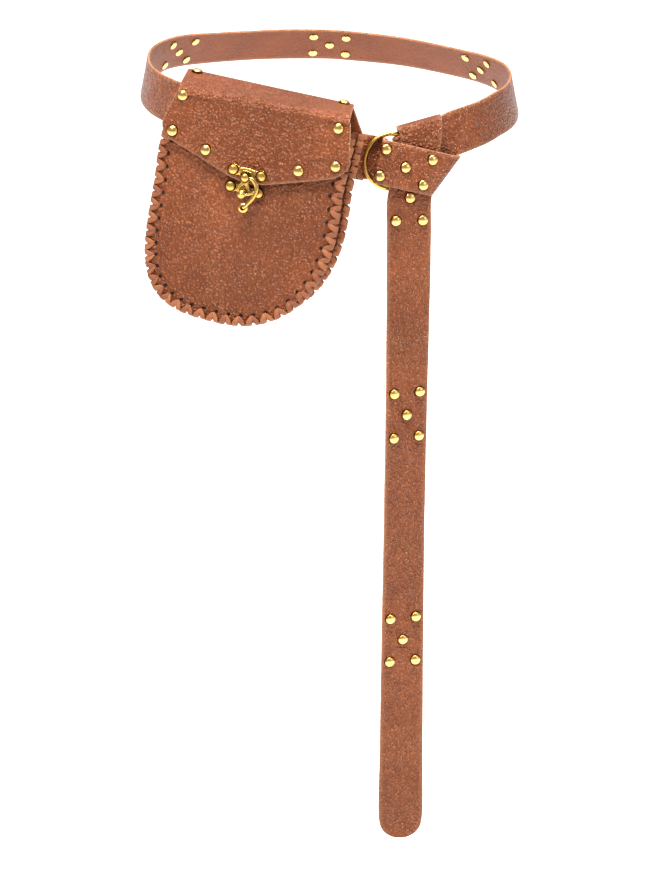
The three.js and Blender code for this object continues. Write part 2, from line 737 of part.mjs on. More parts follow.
for (const side of [-1, 1]) {
  const forward = 0.16;
  const x = side * flapTopRivet + (1 - forward) * flapRearShift;
  const z = lerp(flapFold, flapRear, 0.96) + flapTilt * x * (1 + forward) / 2;
  const face = new THREE.Vector3(x + hang(z), -forward * (pouchDepth + flapOut + 1.5), z);
  flapRivetSeats.push({
    name: side < 0 ? 'left_rear' : 'right_rear',
    matrix: seat(face, new THREE.Vector3(1, 0, 0), new THREE.Vector3(0, -0.12, 1)),
  });
}
const flapSolid = flapRivetSeats.reduce((solid, { matrix }) => solid.subtract(holeSolid(leather, matrix)),
  toSolid(wall(flapRows(0), flapRows(leather))));
addPiece('pouch_back_flap', toGeometry(flapSolid), leatherOuter, pouch);
for (const { name, matrix } of flapRivetSeats) {
  addPiece(`rivet_flap_${name}`, rivetGeometry(leather, flapCap), brass, pouch).applyMatrix4(matrix);
}

// Gusset: a strip round the sides and the bottom, with both edges turned out against the panels.
const gussetSections = (count, profile) => {
  const path = edgeU(count, 0);
  return path.map((p, i) => {
    const before = path[Math.max(0, i - 1)];
    const after = path[Math.min(count, i + 1)];
    const along = after.clone().sub(before).normalize();
    const out = new THREE.Vector2(along.y, -along.x).multiplyScalar(-1);
    if (out.dot(new THREE.Vector2(p.x, p.y + pouchShoulder * 0.5)) < 0) {
      out.negate();
    }
    return profile(i).map(([away, y]) => ({
      flat: new THREE.Vector2(away, y),
      point: new THREE.Vector3(p.x + out.x * away + hang(p.y), y, p.y + out.y * away),
    }));
  });
};

{
  const front = -pouchDepth + leather + gap;
  const back = -leather - gap;
  const outer = -gussetInset;
  const inner = outer - leather;
  const edge = -seamRoom;
  const profile = () => [
    [edge, front], [edge, front + leather], [outer, front + leather], [outer, back - leather],
    [edge, back - leather], [edge, back], [inner, back], [inner, front],
  ];
  addPiece('pouch_gusset', sweep(gussetSections(30, profile)), leatherOuter, pouch);
}

// Lace whipped round a seam: a clip over the panel's and the gusset's edges, with a bump for each pair
// of stitches.
function laceGeometry(faceY, inward, scallops) {
  const edgeDepth = 2 * leather + 2 * gap;
  const count = scallops;
  const arm = laceHoleInset + 1.6;
  const backArm = gussetInset - seamRoom;
  const profile = (i) => {
    const bump = i % 2 ? laceBump : laceDip;
    const y = (depth) => faceY + inward * depth;
    return [
      [-arm, y(-gap - laceThick)], [bump, y(-gap - laceThick)],
      [bump, y(edgeDepth + gap + laceThick)], [-backArm, y(edgeDepth + gap + laceThick)],
      [-backArm, y(edgeDepth)], [seamRoom, y(edgeDepth)], [seamRoom, y(-gap)], [-arm, y(-gap)],
    ];
  };
  return sweep(gussetSections(count, profile));
}

addPiece('lace_front', laceGeometry(-pouchDepth, 1, 2 * laceStitches), laceLeather, pouch);
addPiece('lace_back', laceGeometry(0, -1, laceStitches), laceLeather, pouch);

// Belt loops: strips on the back panel that the belt runs through.
const beltLoop = [
  { back: 0, z: 1.85 },
  { back: 0, z: 1.42 },
  { back: 0.7, z: 1.27 },
  { back: 1, z: 1.05 },
  { back: 1, z: -1.05 },
  { back: 0.7, z: -1.27 },
  { back: 0, z: -1.42 },
  { back: 0, z: -1.85 },
];
for (const side of [-1, 1]) {
  const low = loopDrop + side * loopSkew;
  const middle = beltLoop.map(({ back, z }) => new THREE.Vector2(back * loopReach, z * strapWidth / 2 - low));
  const rowsAt = (offset) => middle.map((p, i) => {
    const next = middle[Math.min(i + 1, middle.length - 1)];
    const along = next.clone().sub(middle[Math.max(0, i - 1)]).normalize();
    const y = gap + p.x + offset * -along.y;
    const z = p.y + offset * along.x;
    return [-1, 1].map((end) => new THREE.Vector3(
      side * loopApart / 2 - pouchShift + end * loopWidth / 2, y, z));
  });
  const name = side < 0 ? 'belt_loop_left' : 'belt_loop_right';
  addPiece(name, wall(rowsAt(leather), rowsAt(0)), leatherOuter, pouch);
}

// Swing clasp
// Its frame stands at the pivot on the flap's outer face: x to the right, y up, z out of the front.

const clasp = new THREE.Group();
clasp.position.set(hang(-pivotDrop), frontFace(0, -pivotDrop) - flapOut - gap, -pivotDrop);
clasp.rotation.set(Math.PI / 2, 0, 0);
pouch.add(clasp);

const extrude = (shape, depth, z) => new THREE.ExtrudeGeometry(shape,
  { depth, bevelEnabled: false, curveSegments: 5 }).translate(0, 0, z);

function dome(x, y, z, width = claspDomeWidth, height = claspDomeHeight) {
  const profile = [
    [0, -0.4],
    [width / 2, -0.4],
    [width / 2, 0.3 * height],
    [width * 0.34, 0.75 * height],
    [0, height],
  ];
  const geometry = new THREE.LatheGeometry(profile.map(([r, h]) => new THREE.Vector2(r, h)), 10);
  return geometry.rotateX(Math.PI / 2).translate(x, y, z);
}

// A plate with round ends, its ears, carrying two domes.
function plate(y, z) {
  const shape = new THREE.Shape();
  const half = plateLength / 2 - plateWidth / 2;
  shape.absarc(half, y, plateWidth / 2, -Math.PI / 2, Math.PI / 2, false);
  shape.absarc(-half, y, plateWidth / 2, Math.PI / 2, 3 * Math.PI / 2, false);
  shape.closePath();
  return [
    extrude(shape, plateThick, z),
    dome(-claspDomesApart / 2, y, z + plateThick),
    dome(claspDomesApart / 2, y, z + plateThick),
  ];
}

const hookLow = plateThick + claspDomeHeight + gap + 0.1;
const hookHigh = hookLow + hookThick;

// Upper plate: ears and domes, a raised middle, the tongue with two legs, and the pivot pin.
{
  const tongue = new THREE.Shape();
  const legs = postDrop - postWidth / 2 + 1.5;
  tongue.moveTo(-3.4, 3);
  tongue.lineTo(-3.4, -3);
  tongue.lineTo(-6.6, -legs);
  tongue.lineTo(-postWidth / 2 - gap - 0.6, -legs);
  tongue.absarc(0, -legs, postWidth / 2 + gap + 0.6, Math.PI, 0, true);
  tongue.lineTo(6.6, -legs);
  tongue.lineTo(3.4, -3);
  tongue.lineTo(3.4, 3);
  tongue.closePath();
  const ridge = new THREE.CylinderGeometry(4.2, 4.2, hookLow - gap - 0.2, 12);
  const pin = new THREE.CylinderGeometry(pivotWidth / 2, pivotWidth / 2, hookHigh + 2 * gap, 10);
  const pieces = [
    ...plate(plateRise, 0),
    extrude(tongue, plateThick, 0),
    ridge.rotateX(Math.PI / 2).translate(0, 0, (hookLow - gap - 0.2) / 2 + 0.1),
    pin.rotateX(Math.PI / 2).translate(0, 0, (hookHigh + 2 * gap) / 2),
    dome(0, 0, hookHigh + gap + 0.4, 7.5, 2.2),
  ];
  addPiece('clasp_upper', toGeometry(union(pieces)), brass, clasp);
}

// Lower plate on the front panel, with the post that the prong goes through.
const lowerPlateZ = -flapOut + plateSag;
const prongHeight = hookLow + hookThick / 2;
{
  const post = new THREE.BoxGeometry(postWidth, postWidth * 0.9, postHeight);
  post.translate(0, -postDrop, lowerPlateZ + plateThick / 2 + postHeight / 2);
  const eye = new THREE.CylinderGeometry(prongThick / 2 + 0.8, prongThick / 2 + 0.8, 2 * postWidth, 10);
  eye.rotateZ(Math.PI / 2).translate(0, -postDrop, prongHeight);
  const body = union([...plate(-lowerPlateDrop, lowerPlateZ), post]);
  addPiece('clasp_lower', toGeometry(body.subtract(toSolid(eye))), brass, clasp);
}

// Swing hook: an eye on the pivot, an arc to the right that comes back down to a disc, and the prong, an
// arc about the pivot.
{
  const bar = (points, width) => {
    const curve = new THREE.CatmullRomCurve3(points.map(([x, y]) => new THREE.Vector3(x, y, 0)));
    const list = curve.getPoints(10);
    const side = (sign) => list.map((p, i) => {
      const along = list[Math.min(i + 1, list.length - 1)].clone().sub(list[Math.max(i - 1, 0)]).normalize();
      return new THREE.Vector2(p.x - sign * along.y * width / 2, p.y + sign * along.x * width / 2);
    });
    return new THREE.Shape([...side(1), ...side(-1).reverse()]);
  };
  const turned = (geometry, x, y, z) => geometry.rotateX(Math.PI / 2).translate(x, y, z);
  const middle = (hookLow + hookHigh) / 2;
  const disc = (radius, depth) => new THREE.CylinderGeometry(radius, radius, depth, 14);
  const arc = bar(hookArc.map(({ x, y }) => [x * postDrop, y * postDrop]), hookBar);
  const prong = bar([-100, -85, -65, -44].map((a) => [
    postDrop * Math.cos(a * degree), postDrop * Math.sin(a * degree)]), prongThick);
  const last = hookArc[hookArc.length - 1];
  const solid = union([
    turned(disc(pivotWidth / 2 + hookThick, hookThick), 0, 0, middle),
    extrude(arc, hookThick, hookLow),
    extrude(prong, prongThick, middle - prongThick / 2),
    turned(disc(hookDisc / 2, hookThick + 0.8), last.x * postDrop, last.y * postDrop, middle),
  ]);
  const bore = turned(disc(pivotWidth / 2 + gap, 4 * hookThick), 0, 0, middle);
  addPiece('clasp_hook', toGeometry(solid.subtract(toSolid(bore))), brass, clasp);
}

// Belt ring

const ring = addPiece('belt_ring', new THREE.TorusGeometry(ringRadius, ringWire / 2, 6, 26), brass);
ring.applyMatrix4(new THREE.Matrix4().multiplyMatrices(knotFrame,
  new THREE.Matrix4().makeTranslation(0, 0, ringLayer)));

export default part;
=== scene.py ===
"""Dressed model of a laced leather belt pouch on a knotted ring belt, for Blender 4.5.

All lengths in the tables and functions are millimetres; meshes are written in metres.
"""
import math
from functools import partial

import bmesh
import bpy
import numpy as np
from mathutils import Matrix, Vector


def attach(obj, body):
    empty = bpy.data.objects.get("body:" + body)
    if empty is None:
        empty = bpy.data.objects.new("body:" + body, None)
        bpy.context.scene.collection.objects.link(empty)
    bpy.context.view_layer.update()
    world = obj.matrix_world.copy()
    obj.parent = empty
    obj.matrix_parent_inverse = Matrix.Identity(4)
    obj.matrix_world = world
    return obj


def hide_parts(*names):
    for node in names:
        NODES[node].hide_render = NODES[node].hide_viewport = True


bl_info = {
    "name": "Belt pouch on a ring belt",
    "version": (1, 0, 0),
    "blender": (4, 5, 0),
    "location": "3D View > Sidebar > Belt Pouch",
    "description": "Builds the leather belt, its brass rivets and ring, the laced pouch and its clasp",
    "category": "Object",
}

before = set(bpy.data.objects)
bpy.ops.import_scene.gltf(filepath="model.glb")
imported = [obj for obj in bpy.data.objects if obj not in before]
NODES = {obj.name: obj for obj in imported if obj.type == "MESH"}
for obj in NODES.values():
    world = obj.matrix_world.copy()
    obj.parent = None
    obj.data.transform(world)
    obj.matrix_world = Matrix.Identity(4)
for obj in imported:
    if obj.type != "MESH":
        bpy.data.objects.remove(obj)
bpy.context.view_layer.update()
MAIN_BODY = "pouch_on_belt"
HOOK_BODY = "hook"
MM = 0.001
GAP = 0.3                 # clearance between touching pieces


# ---------------------------------------------------------------- vectors

def unit(v):
    """Rows of v made one long."""
    v = np.asarray(v, float)
    return v / np.maximum(np.linalg.norm(v, axis=-1, keepdims=True), 1e-12)


def smooth(x, low, high):
    """0 below low, 1 above high, and a smooth S between."""
    t = np.clip((np.asarray(x, float) - low) / (high - low), 0.0, 1.0)
    return t * t * (3 - 2 * t)


def catmull(points, counts):
    """Centripetal Catmull-Rom curve through the rows of points, with counts[i] steps on stretch i."""
    points = np.asarray(points, float)
    first = 2 * points[0] - points[1]
    last = 2 * points[-1] - points[-2]
    p = np.vstack([first, points, last])
    out = []
    for i, steps in enumerate(counts):
        p0, p1, p2, p3 = p[i:i + 4]
        d0, d1, d2 = (max(np.linalg.norm(b - a) ** 0.5, 1e-4) for a, b in ((p0, p1), (p1, p2), (p2, p3)))
        m1 = ((p1 - p0) / d0 - (p2 - p0) / (d0 + d1) + (p2 - p1) / d1) * d1
        m2 = ((p2 - p1) / d1 - (p3 - p1) / (d1 + d2) + (p3 - p2) / d2) * d1
        t = (np.arange(steps) / steps)[:, None]
        a = 2 * p1 - 2 * p2 + m1 + m2
        b = -3 * p1 + 3 * p2 - 2 * m1 - m2
        out.append(a * t ** 3 + b * t ** 2 + m1 * t + p1)
    out.append(points[-1:])
    return np.vstack(out)


def new_mesh(name, verts, faces, material, attributes=None, body=MAIN_BODY, replaces=(),
             weld=0.0):
    """A piece from vertices in millimetres, riding on a body and standing for CAD nodes. It is smooth shaded,
    its faces point outwards, and where weld is given its doubles are merged first."""
    mesh = bpy.data.meshes.new(name)
    mesh.from_pydata((np.asarray(verts, float) * MM).tolist(), [], faces)
    for key, values in (attributes or {}).items():
        values = np.asarray(values, np.float32)
        if values.ndim == 1:
            mesh.attributes.new(key, "FLOAT", "POINT").data.foreach_set("value", values)
        else:
            mesh.attributes.new(key, "FLOAT_VECTOR", "POINT").data.foreach_set("vector", values.ravel())
    bm = bmesh.new()
    bm.from_mesh(mesh)
    if weld:
        bmesh.ops.remove_doubles(bm, verts=bm.verts, dist=weld * MM)
        bmesh.ops.dissolve_degenerate(bm, edges=bm.edges, dist=1e-7)
    bmesh.ops.recalc_face_normals(bm, faces=bm.faces)
    bm.to_mesh(mesh)
    bm.free()
    mesh.polygons.foreach_set("use_smooth", np.ones(len(mesh.polygons), bool))
    obj = bpy.data.objects.new(name, mesh)
    bpy.context.scene.collection.objects.link(obj)
    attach(obj, body)
    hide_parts(*replaces)
    mesh.materials.append(MATERIALS[material])


def shifted(faces, start):
    """Faces with start added to each of their indices."""
    return [[i + start for i in face] for face in faces]


def grid_faces(rows, columns, wrap_rows=False, wrap_columns=False, start=0):
    """Quads of a grid of rows x columns vertices, as an array of index quadruples."""
    i = np.arange(rows if wrap_rows else rows - 1)
    j = np.arange(columns if wrap_columns else columns - 1)
    i, j = (a.ravel() for a in np.meshgrid(i, j, indexing="ij"))
    a = i * columns + j
    b = i * columns + (j + 1) % columns
    c = ((i + 1) % rows) * columns + (j + 1) % columns
    d = ((i + 1) % rows) * columns + j
    return np.stack([a, b, c, d], 1) + start


def tube_faces(sections, sides, closed=False):
    """Quads of a closed profile carried along a path, with a face on each end unless the path is closed."""
    faces = grid_faces(sections, sides, wrap_rows=closed, wrap_columns=True).tolist()
    if not closed:
        faces.append(list(range(sides)))
        faces.append([(sections - 1) * sides + k for k in reversed(range(sides))])
    return faces


# ---------------------------------------------------------------- belt strap

STRAP_WIDTH = 38.0
STRAP_THICK = 2.5
TAIL_LENGTH = 585.0
TAIL_POINT = 18.0
TAIL_DRIFT = 5.0
WAIST_WIDTH, WAIST_DEPTH, WAIST_POWER = 320.0, 250.0, 2.2
WAIST_RISE = 22.0
LEAN_FRONT, LEAN_BACK = 8.0, 35.0
RING_TURN = 23.4
RING_INNER, RING_WIRE = 43.0, 4.0
KNOT_YAW = 12.0
DOME_WIDTH, DOME_HEIGHT = 9.0, 2.6
CAP_WIDTH, CAP_HEIGHT, FLAP_CAP_HEIGHT = 8.0, 1.2, 0.6
POLE_RADIUS = 1e-6
CHORD_SHORT, CHORD_LONG = 4.0, 9.0    # a CAD rivet's length along its axis lies between these
CAD_SIDES = 7                         # points compared in a CAD rivet's widest and narrowest rings

BAND_HEIGHTS = np.array([
    (23.4, -1.0), (41, -0.41), (50, -0.14), (57, 0.0), (66, 0.16), (90, 0.27), (133, 0.46), (152, 0.66),
    (180, 0.86), (215, 0.93), (228, 1.0), (240, 1.12), (250, 1.12), (264, 1.06), (282, 0.93), (294, 0.84),
    (315, 0.68), (333, 0.36), (352, -0.27), (370, -0.8), (383.4, -1.0)])
BAND_LEANS = np.array([
    (-20, 0), (75, 0), (90, 0.08), (100, 0.25), (110, 0.55), (120, 0.85), (132, 0.97), (145, 1), (180, 1)])


def waist_point(turn, height):
    """Point on the waist's superellipse |2x / width|^p + |2y / depth|^p = 1, at a turn from the front towards
    +X."""
    s, c = math.sin(math.radians(turn)), math.cos(math.radians(turn))
    size = (abs(2 * s / WAIST_WIDTH) ** WAIST_POWER
            + abs(2 * c / WAIST_DEPTH) ** WAIST_POWER) ** (-1 / WAIST_POWER)
    return np.array([size * s, -size * c, height])


def waist_station(turn):
    """Upper and lower edge of the band at a turn: its middle plus and minus half a width along its lean."""
    def centre(t):
        """Middle of the band at a turn."""
        return waist_point(t, WAIST_RISE * np.interp(t, *BAND_HEIGHTS.T))
    along = unit(centre(turn + 2) - centre(turn - 2))
    outward = unit(np.array([along[1], -along[0], 0.0]))
    share = np.interp(min(turn, 360 - turn), *BAND_LEANS.T)
    lean = math.radians(LEAN_FRONT + (LEAN_BACK - LEAN_FRONT) * share)
    across = np.array([0, 0, math.cos(lean)]) - math.sin(lean) * outward
    across = unit(across - along * np.dot(across, along))
    return centre(turn) + across * STRAP_WIDTH / 2, centre(turn) - across * STRAP_WIDTH / 2


def knot_matrix():
    """Columns x, y, z of the knot's frame, and its place at the ring's centre."""
    lean, yaw = math.radians(90 - LEAN_FRONT), math.radians(KNOT_YAW)
    cx, sx, cz, sz = math.cos(lean), math.sin(lean), math.cos(yaw), math.sin(yaw)
    turn_x = np.array([[1, 0, 0], [0, cx, -sx], [0, sx, cx]])
    turn_z = np.array([[cz, -sz, 0], [sz, cz, 0], [0, 0, 1]])
    return turn_z @ turn_x, waist_point(RING_TURN, -WAIST_RISE)


KNOT_TURN, KNOT_PLACE = knot_matrix()


def knot_point(x, y, z):
    """Point of the knot's frame in the part's frame."""
    return KNOT_TURN @ np.array([x, y, z], float) + KNOT_PLACE


RING_RADIUS = (RING_INNER + RING_WIRE) / 2
RING_LAYER = STRAP_THICK / 2 + GAP + RING_WIRE / 2
OVER_RING = 2 * RING_LAYER
TAIL_LAYER = OVER_RING + STRAP_THICK + 0.4
BAND_LAYER = TAIL_LAYER + STRAP_THICK + CAP_HEIGHT + 0.8
REACH = RING_INNER / 2
BAND_DROP = -1.8          # the knot's band lies this far off its strap's middle line
WAIST_TURNS = range(59, 375, 7)
ROW_SPACING = 2.4
KNOT_CALM = (65, 95)      # distances from the knot between which the ripple comes in
RIGHT_ANGLE, LEFT_ANGLE, BAND_ANGLE = 19.6, -12.0, -15.5

# Right strap in the knot: distance along, height, half width, all shares.
RIGHT_STRETCH = [
    (2.05, -0.3, 1.0), (1.3, -0.11, 1.0), (0.65, 0.0, 0.98), (0.43, 0.15, 0.95), (0.37, 0.5, 0.94),
    (0.43, 0.85, 0.95), (0.65, 1.0, 0.98), (1.28, 1.0, 0.98), (1.62, 0.6, 0.94), (2.1, 0.14, 0.94),
    (2.7, -0.5, 1.0)]
# Left strap: distance along, height, angle, half width.
LEFT_STRETCH = [
    (-1.5, -0.14, LEFT_ANGLE, 1.0), (-0.95, -0.02, LEFT_ANGLE, 1.0), (-0.62, 0.0, LEFT_ANGLE, 0.99),
    (-0.43, 0.1, LEFT_ANGLE, 0.95), (-0.35, 0.3, LEFT_ANGLE, 0.94), (-0.43, 0.55, LEFT_ANGLE, 0.95),
    (-0.6, 0.77, BAND_ANGLE, 0.99), (-0.6, 0.94, BAND_ANGLE, 1.0), (-0.42, 1.0, BAND_ANGLE, 1.0),
    (0.5, 1.0, BAND_ANGLE, 1.0), (1.1, 1.0, BAND_ANGLE, 1.0)]
# The knot's turns: upper edge x, y, height and lower edge x, y, height.
KNOT_TURNS = [
    (1.44, 0.07, 0.68, 0.73, -0.77, 0.93), (1.535, 0.045, 0.46, 0.815, -0.79, 0.75),
    (1.56, 0.045, 0.1, 0.85, -0.795, 0.3), (1.53, 0.1, -0.28, 0.83, -0.74, -0.12),
    (1.47, 0.21, -0.42, 0.77, -0.64, -0.27), (1.32, 0.54, -0.42, 0.49, -0.03, -0.28),
    (1.2, 0.83, -0.36, 0.2, 0.6, -0.27), (1.16, 0.93, -0.18, 0.15, 0.71, -0.1),
    (1.14, 0.97, 0.2, 0.135, 0.75, 0.22), (1.14, 0.92, 0.58, 0.14, 0.71, 0.6),
    (1.13, 0.8, 0.69, 0.16, 0.6, 0.7), (1.09, 0.4, 0.697, 0.17, 0.36, 0.697),
    (0.96, -0.37, 0.697, -0.015, -0.24, 0.697), (0.84, -0.88, 0.68, -0.165, -0.83, 0.68)]
# Hanging end: shares of its length and of its drift, and its twist in degrees.
TAIL_STATIONS = [(0.05, 0.02, 9), (0.15, 0.1, 13), (0.3, 0.3, 20), (0.5, 0.6, 22), (0.68, 0.8, 16),
                 (0.85, 0.92, 9)]
# Its rounded tip: shares of the tip's length left, and of the width.
POINT_STATIONS = [(1.0, 1.0), (0.55, 0.9), (0.25, 0.7), (0.07, 0.42), (0.0, 0.2)]


def knot_station(angle, along, height, offset, half):
    """Both edges of a strap lying in the knot at an angle."""
    c, s = math.cos(math.radians(angle)), math.sin(math.radians(angle))
    w = half * STRAP_WIDTH / 2
    return (knot_point(along * c - (offset + w) * s, along * s + (offset + w) * c, height),
            knot_point(along * c - (offset - w) * s, along * s + (offset - w) * c, height))


def strap_stations():
    """Upper and lower edge points of the whole strap, from its turned-back end to its tip."""
    pairs = [knot_station(RIGHT_ANGLE, a * REACH, h * OVER_RING, 0, w) for a, h, w in RIGHT_STRETCH]
    pairs += [waist_station(turn) for turn in WAIST_TURNS]
    pairs += [knot_station(angle, a * REACH, h * BAND_LAYER, BAND_DROP if h > 0.9 else 0, w)
              for a, h, angle, w in LEFT_STRETCH]
    pairs += [(knot_point(ux * STRAP_WIDTH, uy * STRAP_WIDTH, uz * BAND_LAYER),
               knot_point(lx * STRAP_WIDTH, ly * STRAP_WIDTH, lz * BAND_LAYER))
              for ux, uy, uz, lx, ly, lz in KNOT_TURNS]
    start = (pairs[-1][0] + pairs[-1][1]) / 2

    def hang(fall, drift, twist, width):
        """Both edges of the hanging end, so far below the knot and to its side, twisted about z."""
        centre = start - np.array([drift * TAIL_DRIFT, 0, fall])
        a = math.radians(twist)
        across = np.array([math.cos(a), math.sin(a), 0]) * width * STRAP_WIDTH / 2
        return centre + across, centre - across

    pairs += [hang(f * TAIL_LENGTH, d, t, 1) for f, d, t in TAIL_STATIONS]
    pairs += [hang(TAIL_LENGTH - b * TAIL_POINT, 1, 5, w) for b, w in POINT_STATIONS]
    return np.array([p[0] for p in pairs]), np.array([p[1] for p in pairs])


def strap_rows(spacing):
    """Dense rows across the strap: each row's middle, its directions across and outward, its half width and
    its distance from the tip. Both edges are Catmull-Rom curves, with more rows where the strap turns."""
    upper, lower = strap_stations()
    middle = (upper + lower) / 2
    steps = np.maximum(2, np.ceil(np.linalg.norm(np.diff(middle, axis=0), axis=1) / spacing)).astype(int)
    bends = np.linalg.norm(np.diff(unit(upper - lower), axis=0), axis=1)
    steps = np.maximum(steps, 3 + (bends * 12).astype(int))
    up, low = catmull(upper, steps), catmull(lower, steps)
    mid = (up + low) / 2
    across = unit(up - low)
    along = np.gradient(mid, axis=0)
    outward = unit(np.cross(along, across))
    lengths = np.linalg.norm(np.diff(mid, axis=0), axis=1)
    from_tip = np.concatenate([np.cumsum(lengths[::-1])[::-1], [0]])
    half = np.linalg.norm(up - low, axis=1) / 2
    return {"mid": mid, "across": across, "outward": outward, "from_tip": from_tip, "half": half}


def wave(x, y, seed):
    """Gentle unevenness from -1 to 1: the mean of six sines of kx x + ky y + phase, drawn from the seed."""
    rng = np.random.default_rng(seed)
    out = np.zeros(np.broadcast(x, y).shape)
    for _ in range(6):
        kx, ky, phase = rng.uniform(-1, 1), rng.uniform(-1, 1), rng.uniform(0, 6.28)
        out = out + np.sin(kx * x + ky * y + phase)
    return out / 6


def build_strap():
    """The belt's leather: a flat profile with rounded edges carried along the strap's rows. The profile is
    across from -1 to 1 on the outer face, round the cut edge and back on the inner face."""
    rows = strap_rows(ROW_SPACING)
    across = np.concatenate([[-1], np.linspace(-0.965, 0.965, 12), [1]])
    level = np.where(np.abs(across) < 0.99, 0.5, 0.32)     # the edge is rounded over
    side = np.concatenate([across, across[::-1]])[None, :]
    level = np.concatenate([level, -level[::-1]])[None, :]
    half, tip = rows["half"][:, None], rows["from_tip"][:, None]
    shape = (len(tip), side.shape[1])
    ripple = 0.22 * wave(tip / 9.0, side * 1.7, 3) + 0.16 * wave(tip / 3.2, side * 3.1, 4)
    # calm where the knot's layers lie close together
    calm = smooth(np.linalg.norm(rows["mid"] - KNOT_PLACE, axis=1), *KNOT_CALM)[:, None]
    fade = (1 - np.abs(side) ** 6) * (0.12 + 0.88 * calm)
    out = level * STRAP_THICK + ripple * fade
    edge_wave = 0.18 * wave(tip / 6.0, side * 0.2, 8)
    points = (rows["mid"][:, None, :]
              + rows["across"][:, None, :] * (side * half + edge_wave * np.sign(side))[..., None]
              + rows["outward"][:, None, :] * out[..., None])

    def spread(values):
        """Values given for every vertex of the strap."""
        return np.broadcast_to(values, shape)

    flat = np.stack([spread(side * half), spread(tip), spread(level * STRAP_THICK)], -1).reshape(-1, 3) * MM
    new_mesh("belt_leather", points.reshape(-1, 3), tube_faces(*shape), "belt",
             {"rim": spread(smooth(np.abs(side), 0.9, 1.0)).ravel(), "inner": spread(level < 0).ravel(),
              "cut": spread(smooth(np.abs(side), 0.955, 0.98)).ravel(), "flat": flat},
             replaces=["belt_strap"])


# ---------------------------------------------------------------- rivets

def lathe(profile, sides):
    """Rings of (radius cos a, radius sin a, height) for a profile of radii and heights turned about z. A ring
    without radius is a pole, one point that closes the shape."""
    profile = np.asarray(profile, float)
    pole = profile[:, 0] < POLE_RADIUS
    angles = np.linspace(0, 2 * math.pi, sides, endpoint=False)
    grid = np.stack([profile[:, :1] * np.cos(angles), profile[:, :1] * np.sin(angles),
                     np.repeat(profile[:, 1:], sides, 1)], -1)
    used = ~pole[:, None] | (np.arange(sides) == 0)
    ids = np.where(pole[:, None], 0, np.arange(sides)) + np.cumsum(np.r_[0, used.sum(1)])[:-1, None]
    faces = []
    for a, b, low_pole, high_pole in zip(ids, ids[1:], pole, pole[1:]):
        corners = [a, b, np.roll(b, -1), np.roll(a, -1)]
        if low_pole:
            corners.pop(3)
        elif high_pole:
            corners.pop(2)
        faces += np.stack(corners, 1).tolist()
    return grid[used], faces


def rivet_mesh(thick, cap):
    """A domed rivet on the leather's outer face at z = 0, turned from the profile of its inner cap, its
    shank, the dome's turned rim and the dome, an elliptic bow."""
    r = DOME_WIDTH / 2
    low = -thick - GAP
    a = np.linspace(1.5, 0, 9)
    bow = np.stack([r * np.sin(a), GAP + 0.45 + (DOME_HEIGHT - 0.45) * np.cos(a)], 1)
    # the turned rim at the dome's foot lies low, so the height colouring paints it the dark tone: a painted
    # shade ring round each dome
    profile = [(0, low - cap), (CAP_WIDTH * 0.3, low - cap * 0.8), (CAP_WIDTH / 2 - 0.2, low - cap * 0.3),
               (CAP_WIDTH / 2, low), (1.5, low), (1.5, -0.2), (r + 0.45, -0.2), (r + 0.45, 0.1), (r, 0.4)]
    return lathe(np.vstack([profile, bow]), 28)


def node_axis(node):
    """Top and outward axis of a turned CAD node. Its axis is the chord, among those as long as a rivet, round
    which the widest ring's points and the narrowest ring's points stand most evenly, by the sum of their
    distances from the ring's mean radius. The top is the end farther from the widest ring."""
    data = NODES[node].data.vertices
    flat = np.empty(len(data) * 3, np.float32)
    data.foreach_get("co", flat)
    pts = np.unique(np.round(flat.astype(float).reshape(-1, 3) / MM, 3), axis=0)
    chord = pts[None] - pts[:, None]
    length = np.linalg.norm(chord, axis=-1)
    i, j = np.nonzero((length > CHORD_SHORT) & (length < CHORD_LONG))
    axis = chord[i, j] / length[i, j][:, None]
    along = np.einsum("mnk,mk->mn", chord[i], axis)
    radii = np.linalg.norm(chord[i] - along[..., None] * axis[:, None], axis=-1)
    ranked = np.sort(radii, axis=1)[:, 2:]              # without the chord's own ends
    score = sum(np.abs(ring - ring.mean(1, keepdims=True)).sum(1)
                for ring in (ranked[:, -CAD_SIDES:], ranked[:, :CAD_SIDES]))
    best = np.argmin(score)
    if along[best, np.argmax(radii[best])] < along[best].max() / 2:
        return pts[i[best]], -axis[best]
    return pts[j[best]], axis[best]


def seat_frame(top, out, rise):
    """Frame of a rivet from its dome's top: rows forward, side and out, and the place of its z = 0."""
    out = unit(out)
    side = unit(np.cross(out, [0.0, 0.0, 1.0] if abs(out[2]) < 0.9 else [1.0, 0.0, 0.0]))
    forward = np.cross(side, out)
    return np.array([forward, side, out]), top - out * rise


def build_rivets(nodes, name, thick, cap):
    """A family's rivets in one mesh: a copy of one shape on the axis of each CAD node."""
    verts, faces = rivet_mesh(thick, cap)
    frames = [seat_frame(*node_axis(node), GAP + DOME_HEIGHT) for node in nodes]
    # the height picks the brass's tone: each dome's foot and turned rim, at the leather, get the dark tone, a
    # painted shade, and its top the bright tone, a painted highlight; the inner caps are as bright as the
    # domes' tops, with a painted shade round their rim
    outer_rim = np.hypot(verts[:, 0], verts[:, 1]) > CAP_WIDTH / 2 - 0.1
    bright = np.where(verts[:, 2] < -1.0, np.where(outer_rim, 0.4, 2.4), verts[:, 2])
    new_mesh(name, np.vstack([verts @ turn + place for turn, place in frames]),
             [face for k in range(len(frames)) for face in shifted(faces, k * len(verts))], "rivet",
             {"height": np.tile(bright, len(frames))}, replaces=nodes)


# ---------------------------------------------------------------- pouch frame

